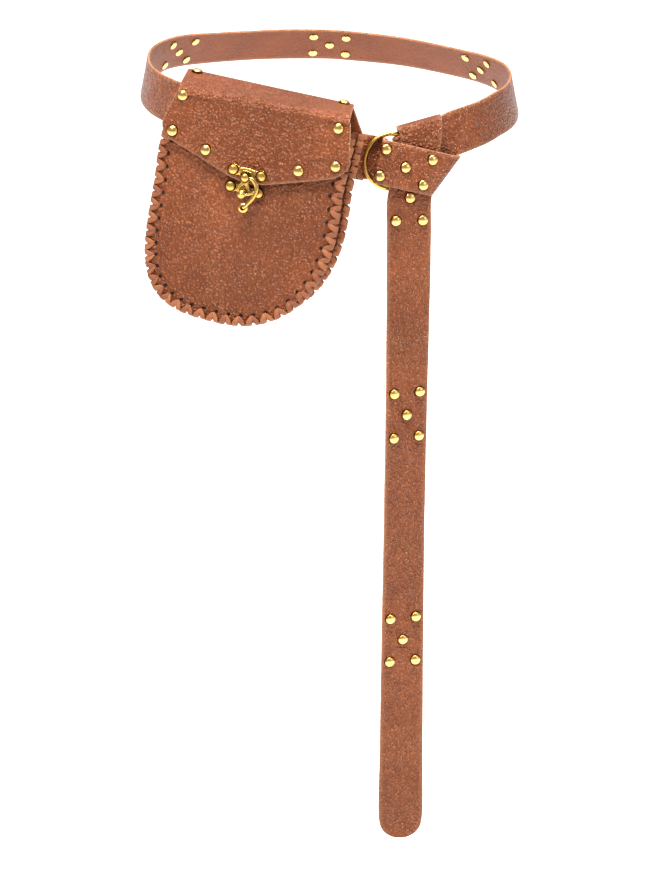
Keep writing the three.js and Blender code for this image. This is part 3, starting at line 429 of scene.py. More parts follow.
LEATHER = 2.0
POUCH_DEPTH = 46.0
POUCH_HALF = 78.5
POUCH_BOTTOM, POUCH_SHOULDER, POUCH_TOP, POUCH_POWER = 161.5, 57.0, 17.0, 2.7
POUCH_BULGE = 4.0
POUCH_SWAY = 18.0
POUCH_TURN, POUCH_SHIFT = -27.1, 11.0
POUCH_YAW, POUCH_PITCH, POUCH_ROLL = -12.0, 8.0, 11.5
POUCH_STAND_OFF = 2.0
FLAP_REAR, FLAP_FOLD, FLAP_FOLD_HALF, FLAP_REAR_HALF, FLAP_REAR_SHIFT = 37.0, 29.0, 74.0, 73.0, -7.0
FLAP_HALF, FLAP_POINT, FLAP_TILT, FLAP_GAP = 82.5, 40.0, 0.08, 2.6
PIVOT_DROP = 34.5
FLAP_OUT = LEATHER + FLAP_GAP
HOLE_INSET = 5.5
STITCHES = 40             # lace holes round one seam
PIT_DEPTH, PIT_RADIUS = 1.1, 1.5
PANEL_COLUMNS, PANEL_RINGS = 880, 26
# Rings near a panel's edge, by their distance from it.
PANEL_INSETS = np.array([0.0, 0.35, 0.9, 2.0, 3.4, 4.6, 5.3, 5.9, 6.4, 6.9, 7.5, 8.1, 8.8, 10.0])
EDGE_SAMPLES = 2001
PLAIN_LEATHER = ("rim", "inner", "cut", "pit")    # attributes that are 0 on a plain strip
GUSSET_COLUMNS = 420
FLAP_COLUMNS = 121


def euler_zxy(x, y, z):
    """Rotation by z, then x, then y of the turned frame, in degrees."""
    cx, sx, cy, sy, cz, sz = (f(math.radians(a)) for a in (x, y, z) for f in (math.cos, math.sin))
    rx = np.array([[1, 0, 0], [0, cx, -sx], [0, sx, cx]])
    ry = np.array([[cy, 0, sy], [0, 1, 0], [-sy, 0, cy]])
    rz = np.array([[cz, -sz, 0], [sz, cz, 0], [0, 0, 1]])
    return rz @ rx @ ry


POUCH_FRAME = euler_zxy(-POUCH_PITCH, POUCH_ROLL, POUCH_YAW)
_up, _low = waist_station(360 + POUCH_TURN)
POUCH_PLACE = (_up + _low) / 2 + POUCH_FRAME @ np.array(
    [POUCH_SHIFT, -(STRAP_THICK / 2 + POUCH_STAND_OFF), 0])


def to_part(points):
    """Points of the pouch's frame in the part's frame."""
    return np.asarray(points, float) @ POUCH_FRAME.T + POUCH_PLACE


def sway(z):
    """How far the pouch's body sways sideways at a height."""
    low = np.maximum(0, -PIVOT_DROP - np.asarray(z, float)) / (POUCH_BOTTOM - PIVOT_DROP)
    return POUCH_SWAY * low * (1 - 1.5 * low)


def half_width(z):
    """Half width of the panels at a height: straight sides over a superelliptic round."""
    fall = np.clip((-POUCH_SHOULDER - np.asarray(z, float)) / (POUCH_BOTTOM - POUCH_SHOULDER), 0, 1)
    return POUCH_HALF * (1 - fall ** POUCH_POWER) ** (1 / POUCH_POWER)


def front_face(x, z):
    """How far forward the front panel's outer face stands: flat at its edge, bulging in its middle."""
    across = np.minimum(1, np.abs(x) / POUCH_HALF)
    down = np.minimum(1, np.abs(z + POUCH_SHOULDER) / (POUCH_BOTTOM - POUCH_SHOULDER))
    return -POUCH_DEPTH - POUCH_BULGE * (1 - across ** 2) ** 2 * (1 - down ** 2) ** 2


def edge_u(count):
    """Points evenly spaced round the panels' U edge, a superellipse between two straight sides, from the left
    top to the right top, with the unit direction that points out of the panel and the length so far."""
    a = np.linspace(0, math.pi, EDGE_SAMPLES)
    c, s = np.cos(a), np.sin(a)
    x = -np.sign(c) * POUCH_HALF * np.abs(c) ** (2 / POUCH_POWER)
    z = -POUCH_SHOULDER - (POUCH_BOTTOM - POUCH_SHOULDER) * s ** (2 / POUCH_POWER)
    pts = np.vstack([[(-POUCH_HALF, POUCH_TOP)], np.stack([x, z], 1), [(POUCH_HALF, POUCH_TOP)]])
    length = np.concatenate([[0], np.cumsum(np.linalg.norm(np.diff(pts, axis=0), axis=1))])
    want = np.linspace(0, length[-1], count)
    p = np.stack([np.interp(want, length, pts[:, 0]), np.interp(want, length, pts[:, 1])], 1)
    d = unit(np.gradient(p, axis=0))
    out = np.stack([-d[:, 1], d[:, 0]], 1)
    out[np.sum(out * (p + [0, POUCH_SHOULDER * 0.5]), axis=1) < 0] *= -1
    return p, out, want


def build_front_panel():
    """Front panel with the U outline: rings of its edge line run inwards to a middle line. The outer face
    stands at front_face, lowered by its rounded edge, by a pit at each lace hole and by a wrinkle, and each
    stitch draws the edge in a little. Every third ring, the leather's thickness behind, makes the inner
    face."""
    columns = PANEL_COLUMNS
    p, out, length = edge_u(columns)
    phase = (length / length[-1] * STITCHES) % 1.0 - 0.5
    pitch = length[-1] / STITCHES
    inset = PANEL_INSETS[:, None]
    draw = 0.35 * np.cos(2 * math.pi * phase) * np.maximum(0.0, 1 - inset / 5)
    near = p - out * (inset + 0.2 - draw)[..., None]
    pit = np.exp(-(np.hypot(phase * pitch * 0.8, inset - HOLE_INSET - 1.3) / PIT_RADIUS) ** 2)
    drop = PIT_DEPTH * pit + 0.55 * (1 - smooth(inset, 0, 1.2)) + 0.35 * np.exp(-((inset - 3.0) / 3.0) ** 2)
    spine = np.stack([np.zeros(columns), np.clip(p[:, 1], -POUCH_SHOULDER - 46, 14)], 1)
    t = np.linspace(0, 1, PANEL_RINGS + 1)[1:, None, None]
    flat = np.concatenate([near, near[-1] * (1 - t) + spine * t])
    plain = np.zeros((PANEL_RINGS, columns))
    pit, drop = np.vstack([pit, plain]), np.vstack([drop, plain])
    x, z = flat[..., 0], flat[..., 1]
    inwards = np.concatenate([np.zeros(len(PANEL_INSETS)), np.linspace(0.1, 1, PANEL_RINGS)])
    wrinkle = 0.35 * wave(x / 11.0, z / 13.0, 21) * smooth(inwards, 0, 0.6)[:, None]
    face = front_face(x, z)
    outer = np.stack([x + sway(z), face + (drop + wrinkle), z], -1)
    inner = np.stack([x + sway(z), face + LEATHER, z], -1)[::3]
    rows, inner_rows = len(outer), len(inner)
    start, behind = rows * columns, inner_rows * columns
    faces = grid_faces(rows, columns).tolist()
    faces += grid_faces(inner_rows, columns, start=start)[:, ::-1].tolist()
    k = np.arange(columns - 1)
    faces += np.stack([k, k + 1, start + k + 1, start + k], 1).tolist()
    # the panel's top: the rings' ends on the left half, and on the right
    for end in (0, columns - 1):
        ring, back = np.arange(rows) * columns + end, start + np.arange(inner_rows) * columns + end
        faces.append(np.concatenate([ring, back[::-1]]).tolist())
    edge = 1 - smooth(np.r_[PANEL_INSETS, np.full(PANEL_RINGS, 20.0)], 0.2, 1.4)
    rim = np.concatenate([np.repeat(edge, columns), np.zeros(behind)])
    verts = np.vstack([to_part(outer.reshape(-1, 3)), to_part(inner.reshape(-1, 3))])
    new_mesh("front_panel", verts, faces, "panel",
             {"pit": np.concatenate([pit.ravel(), np.zeros(behind)]), "rim": rim, "cut": rim * 0.6,
              "inner": np.repeat([0.0, 1.0], [start, behind])}, replaces=["pouch_front"], weld=0.02)


# Rows over the top: shares of the way forward and of the rise, and the angle that the outer face looks.
TOP_ROWS = np.array([
    (0.0, 0.60, 0), (0.004, 0.80, 20), (0.02, 0.93, 45), (0.05, 0.985, 70), (0.1, 1.0, 85), (0.3, 0.88, 97),
    (0.5, 0.73, 99), (0.7, 0.56, 102), (0.82, 0.42, 108), (0.88, 0.31, 116), (0.93, 0.15, 128),
    (0.965, -0.05, 142), (0.99, -0.32, 158), (1.0, -0.62, 172)])
# The flap's lower edge: share across, and how much of the point's drop it reaches.
FLAP_EDGE = np.array([(0, 1.0), (0.06, 0.998), (0.2, 0.965), (0.55, 0.83), (0.8, 0.735), (0.88, 0.695),
                      (0.94, 0.64), (0.975, 0.575), (0.992, 0.5), (1, 0.42)])


def build_flap():
    """Back panel and flap, one piece of leather: rows of points go up the back, over the top and down the
    front to the point. Each row's outer face looks one way, and the inner face lies the leather's thickness
    behind it."""
    columns = FLAP_COLUMNS
    even = np.linspace(-1, 1, columns)
    share = 0.55 * np.sin(even * math.pi / 2) + 0.45 * even
    angle = np.linspace(0.02, 1, 60)[:, None] * math.pi / 2
    z = np.vstack([-POUCH_SHOULDER - (POUCH_BOTTOM - POUCH_SHOULDER) * np.cos(angle) ** (2 / POUCH_POWER),
                   np.linspace(-POUCH_SHOULDER, POUCH_TOP, 22)[1:, None]])
    back = np.stack(np.broadcast_arrays(share * half_width(z), 0.0, z), -1)

    station = np.linspace(0, len(TOP_ROWS) - 1, 45)
    forward, rise, look = (np.interp(station, np.arange(len(TOP_ROWS)), row)[:, None] for row in TOP_ROWS.T)
    half = FLAP_REAR_HALF + (FLAP_FOLD_HALF - FLAP_REAR_HALF) * forward
    x = share * half + (1 - forward) * FLAP_REAR_SHIFT
    z = FLAP_FOLD + (FLAP_REAR - FLAP_FOLD) * rise + FLAP_TILT * x * (1 + forward) / 2
    sag = 1.2 * np.sin(math.pi * np.clip(forward, 0, 1)) * (1 - share ** 2)
    over = np.stack(np.broadcast_arrays(x, -forward * (POUCH_DEPTH + FLAP_OUT + 1.5), z - sag), -1)

    reach = np.interp(np.abs(share), *FLAP_EDGE.T)
    down = np.linspace(0, 1, 46)[5:, None]
    fold = FLAP_FOLD + FLAP_TILT * share * FLAP_FOLD_HALF
    z = fold + (-FLAP_POINT - fold) * down * reach
    x = share * (FLAP_FOLD_HALF + (FLAP_HALF - FLAP_FOLD_HALF) * np.minimum(1, down * reach / 0.5))
    lift = 0.7 * wave(x / 14.0, z / 20.0, 33) * smooth(down, 0.15, 0.8)
    front = np.stack([x, front_face(x, z) - FLAP_OUT - lift - 0.25, z], -1)

    mid = np.concatenate([back, over, front])
    mid[..., 0] += sway(mid[..., 2])
    look = np.radians(np.vstack([np.zeros((len(back), 1)), look, np.full((len(front), 1), 180.0)]))
    out = np.stack([np.zeros_like(look), np.cos(look), np.sin(look)], -1) * np.ones((1, columns, 1))
    rows = len(mid)
    edge = 1 - smooth((1 - np.abs(share)) * POUCH_HALF, 0.0, 1.2)
    end = np.zeros((rows, 1))
    end[-2:, 0] = 0.3, 1
    rim = np.maximum(edge, end)
    outer = mid - out * (0.55 * rim)[..., None]
    inner = mid - out * (LEATHER - 0.45 * rim)[..., None]
    # lace holes in the back panel's edge
    p, away, _ = edge_u(STITCHES * 2 + 1)
    holes = (p - away * HOLE_INSET)[1::2]
    holes[:, 0] += sway(holes[:, 1])
    holed = len(back) + 1
    distance = np.linalg.norm(outer[:holed, :, None, [0, 2]] - holes, axis=-1).min(-1)
    pit = np.zeros((rows, columns))
    pit[:holed] = np.exp(-(distance / PIT_RADIUS) ** 2)
    outer = outer - out * (PIT_DEPTH * pit)[..., None]

    n = rows * columns
    ids = np.arange(n).reshape(rows, columns)
    border = np.concatenate([ids[0], ids[1:, -1], ids[-1, -2::-1], ids[-2:0:-1, 0]])
    after = np.roll(border, -1)
    faces = grid_faces(rows, columns).tolist() + grid_faces(rows, columns, start=n)[:, ::-1].tolist()
    faces += np.stack([border, after, after + n, border + n], 1).tolist()
    rim = np.tile(rim.ravel(), 2)
    verts = np.vstack([to_part(outer.reshape(-1, 3)), to_part(inner.reshape(-1, 3))])
    new_mesh("back_and_flap", verts, faces, "panel",
             {"pit": np.concatenate([pit.ravel(), np.zeros(n)]), "rim": rim, "cut": rim * 0.9,
              "inner": np.repeat([0.0, 1.0], n)}, replaces=["pouch_back_flap"], weld=0.02)


def u_sections(count, profile):
    """A profile of (out, y) points, which may change along the way, carried round the U edge."""
    p, out, length = edge_u(count)
    share = length / length[-1]
    points = []
    for away, y in profile(share):
        away = np.broadcast_to(away, (count,))
        flat = p + out * away[:, None]
        points.append(np.stack([flat[:, 0] + sway(p[:, 1]), np.broadcast_to(y, (count,)), flat[:, 1]], -1))
    return np.stack(points, 1)


def build_gusset():
    """Strip of leather round the sides and the bottom, its edges turned out against the panels, slack and
    puckered a little at each stitch."""
    count = GUSSET_COLUMNS
    front = -POUCH_DEPTH + LEATHER + GAP
    back = -LEATHER - GAP

    def profile(share):
        """Points (out, y) of the gusset's section: both turned-out edges and, between them, a half sine inwards
        that grows and shrinks along the seam."""
        pucker = 0.5 * np.cos(2 * math.pi * share * STITCHES)
        slack = 1.1 * np.sin(9 * share) + 0.7 * np.sin(23 * share + 1)
        span = np.linspace(0, 1, 12)
        outer = [(-4.6 - math.sin(math.pi * t) * (2.2 + slack) - pucker * (abs(t - 0.5) > 0.35) * 0.5,
                  front + LEATHER + (back - front - 2 * LEATHER) * t) for t in span]
        inner = [(a - LEATHER, front + (back - front) * t) for (a, _), t in zip(outer, span)]
        return ([(-1.0, front), (-0.9, front + LEATHER * 0.5), (-1.0, front + LEATHER)] + outer
                + [(-1.0, back - LEATHER), (-0.9, back - LEATHER * 0.5), (-1.0, back)] + inner[::-1])

    pts = u_sections(count, profile)
    sides = pts.shape[1]
    new_mesh("gusset_leather", to_part(pts.reshape(-1, 3)), tube_faces(count, sides), "panel",
             dict.fromkeys(PLAIN_LEATHER, np.zeros(count * sides)), replaces=["pouch_gusset"])


# ---------------------------------------------------------------- lace

LACE_SAMPLES = 4001

def ribbon(path, normal, width, thick, sides=10):
    """A flat strand with round edges: a superelliptic oval of width x thick carried along path, its flat side
    facing normal, narrower where it comes out of its hole. Returns its vertices and closed faces."""
    tangent = unit(np.gradient(path, axis=0))
    side = unit(np.cross(tangent, normal))
    up = np.cross(side, tangent)
    a = np.linspace(0, 2 * math.pi, sides, endpoint=False)
    c, s = np.cos(a), np.sin(a)
    oval_x = np.sign(c) * np.abs(c) ** 0.6 * width / 2
    oval_y = np.sign(s) * np.abs(s) ** 0.8 * thick / 2
    grow = np.interp(np.linspace(0, 1, len(path)), [0, 0.12, 0.45, 1], [0.5, 0.6, 1, 1])[:, None, None]
    pts = (path[:, None, :] + side[:, None, :] * oval_x[None, :, None] * grow
           + up[:, None, :] * oval_y[None, :, None])
    return pts.reshape(-1, 3), tube_faces(len(path), sides)


def build_lace(name, face_y, inward, replaces, seed, look):
    """Flat lace whipped round a seam. Two strands leave each hole, lean one to each side across the panel's
    edge, go round it and come back behind: a Catmull-Rom curve through points that give the share of the way
    to the strand's far end, the distance out of the panel and the depth behind its face."""
    rng = np.random.default_rng(seed)
    p, out, length = edge_u(LACE_SAMPLES)
    shares = length / length[-1]
    deep = 2 * LEATHER + 2 * GAP

    def at(share, away, depth):
        """Points beside the seam, and the directions out of the panel there."""
        share = np.clip(share, 0, 1)
        q, o = (np.stack([np.interp(share, shares, v[:, 0]), np.interp(share, shares, v[:, 1])], -1)
                for v in (p, out))
        o = unit(o)
        flat = q + o * away[:, None]
        return (np.stack([flat[:, 0] + sway(q[:, 1]), face_y + inward * depth, flat[:, 1]], -1),
                np.stack([o[:, 0], np.zeros(len(o)), o[:, 1]], -1))

    verts, faces, tint = [], [], []
    for hole in (np.arange(STITCHES) + 0.5) / STITCHES:
        for lean in (-0.5, 0.5):
            top = hole + lean / STITCHES * (0.56 + 0.1 * rng.random())
            if not 0 < top < 1:
                continue
            lift = (0.8 if lean > 0 else 1.35) + 0.2 * rng.random()
            # from inside the hole, over the face, round the edge, and back in behind
            keys = np.array([
                (0.0, -HOLE_INSET - 0.1, 2.0), (0.03, -HOLE_INSET + 0.4, 0.1),
                (0.3, -HOLE_INSET + 1.7, -0.7 * lift), (0.55, -2.2, -1.0 * lift), (0.85, 0.2, -0.75 * lift),
                (0.98, 1.5 + 0.3 * lift, 0.7), (1.05, 1.8 + 0.4 * lift, deep * 0.5),
                (1.0, 1.3 + 0.3 * lift, deep - 0.4), (0.85, -0.6, deep + 0.75), (0.72, -2.4, deep + 0.7)])
            keys[:, 0] = hole + (top - hole) * keys[:, 0]
            share, away, depth = catmull(keys, [2, 3, 3, 3, 3, 3, 3, 3, 2]).T
            path, normal = at(share, away, depth)
            # the flat side faces out of the seam: forward on the face, outward on the edge
            turn = smooth(away, -1.5, 1.2)
            behind = smooth(depth, deep * 0.6, deep + 0.4)
            facing = normal * np.maximum(turn, 0.15)[:, None]
            facing[:, 1] -= inward * (1 - turn) * (1 - 2 * behind)
            strand, sides = ribbon(path, unit(facing), look.lace_width + 0.5 * rng.random(), look.lace_thick)
            faces += shifted(sides, sum(map(len, verts)))
            verts.append(strand)
            tint.append(np.full(len(strand), rng.random()))
    new_mesh(name, to_part(np.vstack(verts)), faces, "lace", {"tint": np.concatenate(tint)},
             replaces=replaces)


# ---------------------------------------------------------------- belt loops

# A loop's path down the back: shares of its reach behind the panel and of half the belt's width.
LOOP_PATH = [(0, 1.85), (0, 1.42), (0.7, 1.27), (1, 1.05), (1, -1.05), (0.7, -1.27), (0, -1.42), (0, -1.85)]
LOOP_WIDTH, LOOP_APART, LOOP_REACH, LOOP_SKEW, LOOP_DROP = 24.0, 80.0, 15.2, 2.0, 5.0


def build_loops():
    """Two strips of leather on the back panel that the belt runs through: a flat profile with rounded edges,
    carried along a Catmull-Rom path that stands off the panel."""
    across = np.array([-1, -0.97, -0.8, -0.4, 0, 0.4, 0.8, 0.97, 1]) * LOOP_WIDTH / 2
    round_off = np.array([0.35, 0.08, 0, 0, 0, 0, 0, 0.08, 0.35])
    x = np.concatenate([across, across[::-1]])
    off = np.concatenate([GAP + LEATHER - round_off, GAP + round_off[::-1]])
    for side, name in ((-1, "left"), (1, "right")):
        low = LOOP_DROP + side * LOOP_SKEW
        keys = np.array([(b * LOOP_REACH, z * STRAP_WIDTH / 2 - low) for b, z in LOOP_PATH])
        path = catmull(keys, [3, 5, 4, 10, 4, 5, 3])
        along = unit(np.gradient(path, axis=0))
        y = path[:, :1] - off * along[:, 1:]
        z = path[:, 1:] + off * along[:, :1]
        pts = np.stack(np.broadcast_arrays(side * LOOP_APART / 2 - POUCH_SHIFT + x, y, z), -1)
        new_mesh(f"loop_{name}", to_part(pts.reshape(-1, 3)), tube_faces(*y.shape), "panel",
                 dict.fromkeys(PLAIN_LEATHER, np.zeros(y.size)), replaces=[f"belt_loop_{name}"])


# ---------------------------------------------------------------- ring

RING_COLUMNS, WIRE_SIDES = 120, 20

def build_ring():
    """The belt ring: a round wire, a little uneven, carried round a circle."""
    a = np.linspace(0, 2 * math.pi, RING_COLUMNS, endpoint=False)[:, None]
    b = np.linspace(0, 2 * math.pi, WIRE_SIDES, endpoint=False)
    wire = RING_WIRE / 2 * (1 + 0.02 * np.sin(5 * a))
    radius = RING_RADIUS + wire * np.cos(b)
    pts = np.stack([radius * np.cos(a), radius * np.sin(a), RING_LAYER + wire * np.sin(b)], -1).reshape(-1, 3)
    faces = tube_faces(RING_COLUMNS, WIRE_SIDES, closed=True)
    new_mesh("ring", pts @ KNOT_TURN.T + KNOT_PLACE, faces, "ring", {"height": np.full(len(pts), 2.0)},
             replaces=["belt_ring"])


# ---------------------------------------------------------------- clasp

PLATE_LENGTH, PLATE_WIDTH, PLATE_THICK = 34.6, 10.2, 1.5
CLASP_DOME_WIDTH, CLASP_DOME_HEIGHT, DOMES_APART = 9.8, 2.1, 24.5
PLATE_RISE, LOWER_PLATE_DROP, PLATE_SAG = 3.5, 11.5, 0.4
POST_DROP, POST_WIDTH, POST_HEIGHT = 14.6, 4.6, 10.6
PRONG_THICK, HOOK_THICK, HOOK_BAR, HOOK_DISC, PIVOT_WIDTH = 2.0, 2.4, 3.2, 9.0, 3.4
HOOK_ARC = [(0.12, 0.0), (0.5, -0.05), (0.78, -0.4), (0.72, -0.95), (0.5, -1.4), (0.25, -1.75)]
HOOK_LOW = PLATE_THICK + CLASP_DOME_HEIGHT + GAP + 0.1
HOOK_HIGH = HOOK_LOW + HOOK_THICK
LOWER_Z = -FLAP_OUT + PLATE_SAG
COLLAR_WIDTH = 8.4
DOME_SIDES, BAR_SIDES, POST_SIDES, EYE_COLUMNS, EYE_SIDES = 32, 16, 12, 36, 14


def clasp_to_part(points):
    """Points of the clasp's frame (x right, y up, z out) in the part's frame."""
    points = np.asarray(points, float)
    origin = np.array([sway(-PIVOT_DROP), front_face(0, -PIVOT_DROP) - FLAP_OUT - GAP, -PIVOT_DROP])
    local = np.stack([points[:, 0], -points[:, 2], points[:, 1]], 1) + origin
    return to_part(local)


class Metal:
    """Collects closed shapes of one cast piece, each point with a 0 to 1 value for its tone: high on tops and
    rounded upper edges, polish and a painted highlight; low at feet, undersides and in grooves, tarnish and a
    painted shade.
    """

    def __init__(self):
        self.verts, self.faces, self.shine, self.count = [], [], [], 0

    def add(self, verts, faces, shine):
        """Adds one closed shape."""
        verts = np.asarray(verts, float)
        self.faces += shifted(faces, self.count)
        self.verts.append(verts)
        self.shine.append(np.broadcast_to(np.asarray(shine, float), (len(verts),)))
        self.count += len(verts)

    def slab(self, outline, low, high, soft=0.45):
        """An outline of (x, y) raised from low to high, its upper edge rounded over by soft."""
        outline = np.asarray(outline, float)
        d = unit(np.roll(outline, -1, 0) - np.roll(outline, 1, 0))
        normal = np.stack([d[:, 1], -d[:, 0]], 1)
        following = np.roll(outline, -1, 0)
        if np.sum(outline[:, 0] * following[:, 1] - following[:, 0] * outline[:, 1]) < 0:
            normal = -normal
        rings, shine = [], []
        # each ring's value: darkest at the foot, a painted shade where the plate meets the leather, and
        # brightest on the rounded upper edge, polish and a painted highlight
        for inset, z, bright in ((0.15, low, 0.1), (0, low + 0.15, 0.25), (0, high - soft, 0.6),
                                 (soft * 0.3, high - soft * 0.3, 1.0), (soft, high, 0.8)):
            rings.append(np.column_stack([outline - normal * inset, np.full(len(outline), z)]))
            shine.append(np.full(len(outline), bright))
        n = len(outline)
        faces = grid_faces(len(rings), n, wrap_columns=True).tolist()
        faces.append(list(range(n))[::-1])
        faces.append(list(range((len(rings) - 1) * n, len(rings) * n)))
        self.add(np.vstack(rings), faces, np.concatenate(shine))

    def dome(self, x, y, base, width, height, dimple=0.0, collar=True):
        """A cast dome, a quarter ellipse turned round, with a collar round its foot; or a disc with a dimple,
        a bell curve, in its middle."""
        r = width / 2
        profile = [(0, base - 0.3), (r, base - 0.3), (r, base + 0.3)]
        # the foot ring gets low values and the groove inside the collar 0.0: a painted shade, with tarnish in
        # the groove
        bright = [0, 0.2, 0.35]
        if collar:
            profile += [(r - 0.2, base + 0.42), (r - 0.45, base + 0.3)]
            bright += [0.6, 0.0]
            r = r - 0.45
        a = np.linspace(0.15, math.pi / 2, 9)
        radius = r * np.cos(a)
        radius[-1] = 0
        z = base + 0.35 + (height - 0.35) * np.sin(a) - dimple * np.exp(-(radius / (0.42 * r)) ** 2)
        # the dome grows brighter towards its top, polish and a painted highlight; a disc is bright but for the
        # middle of its dimple, a painted shade in the hollow
        top = np.where(radius < 0.35 * r, 0.1, 1.0) if dimple else 0.35 + 0.65 * np.sin(a)
        profile = np.vstack([profile, np.stack([radius, z], 1)])
        verts, faces = lathe(profile, DOME_SIDES)
        points = np.where(profile[:, 0] < POLE_RADIUS, 1, DOME_SIDES)
        self.add(verts + [x, y, 0], faces, np.repeat(np.concatenate([bright, top]), points))

    def bar(self, keys, width, low, high, steps=6, taper=None):
        """A rounded bar: keys of (x, y) smoothed, with a crowned top."""
        line = catmull(np.asarray(keys, float), [steps] * (len(keys) - 1))
        line3 = np.column_stack([line, np.full(len(line), (low + high) / 2)])
        along = unit(np.gradient(line3, axis=0))
        side = np.stack([-along[:, 1], along[:, 0], np.zeros(len(line))], 1)
        wide = np.full(len(line), width / 2) if taper is None else np.interp(
            np.linspace(0, 1, len(line)), np.linspace(0, 1, len(taper)), taper) * width / 2
        a = np.linspace(0, 2 * math.pi, BAR_SIDES, endpoint=False)
        sx = np.sign(np.cos(a)) * np.abs(np.cos(a)) ** 0.7
        sz = np.sign(np.sin(a)) * np.abs(np.sin(a)) ** 0.7
        pts = (line3[:, None, :] + side[:, None, :] * (sx[None, :] * wide[:, None])[..., None]
               + np.array([0, 0, 1.0]) * (sz * (high - low) / 2)[None, :, None])
        # the bar is brighter over its top and darker underneath: a painted highlight above and a painted shade
        # below
        shine = np.tile(np.clip(0.45 + 0.55 * sz, 0, 1), len(line))
        self.add(pts.reshape(-1, 3), tube_faces(len(line), BAR_SIDES), shine)

    def make(self, name, body, replaces):
        """Makes the piece from its shapes."""
        new_mesh(name, clasp_to_part(np.vstack(self.verts)), self.faces, "clasp",
                 {"shine": np.concatenate(self.shine)}, body=body, replaces=replaces)


def eared_outline(y, waist, steps=14):
    """A bar between two round ears, narrower in its middle."""
    half, r = PLATE_LENGTH / 2 - PLATE_WIDTH / 2, PLATE_WIDTH / 2
    a = np.linspace(-2.2, 2.2, steps)
    right = np.stack([half + r * np.cos(a), y + r * np.sin(a)], 1)
    left = np.stack([-half - r * np.cos(a), y - r * np.sin(a)], 1)
    x = np.linspace(half - 4.5, -half + 4.5, 6)
    top = np.stack([x, np.full(6, y + waist)], 1)
    low = np.stack([-x, np.full(6, y - waist)], 1)
    return np.vstack([right, top, left, low])


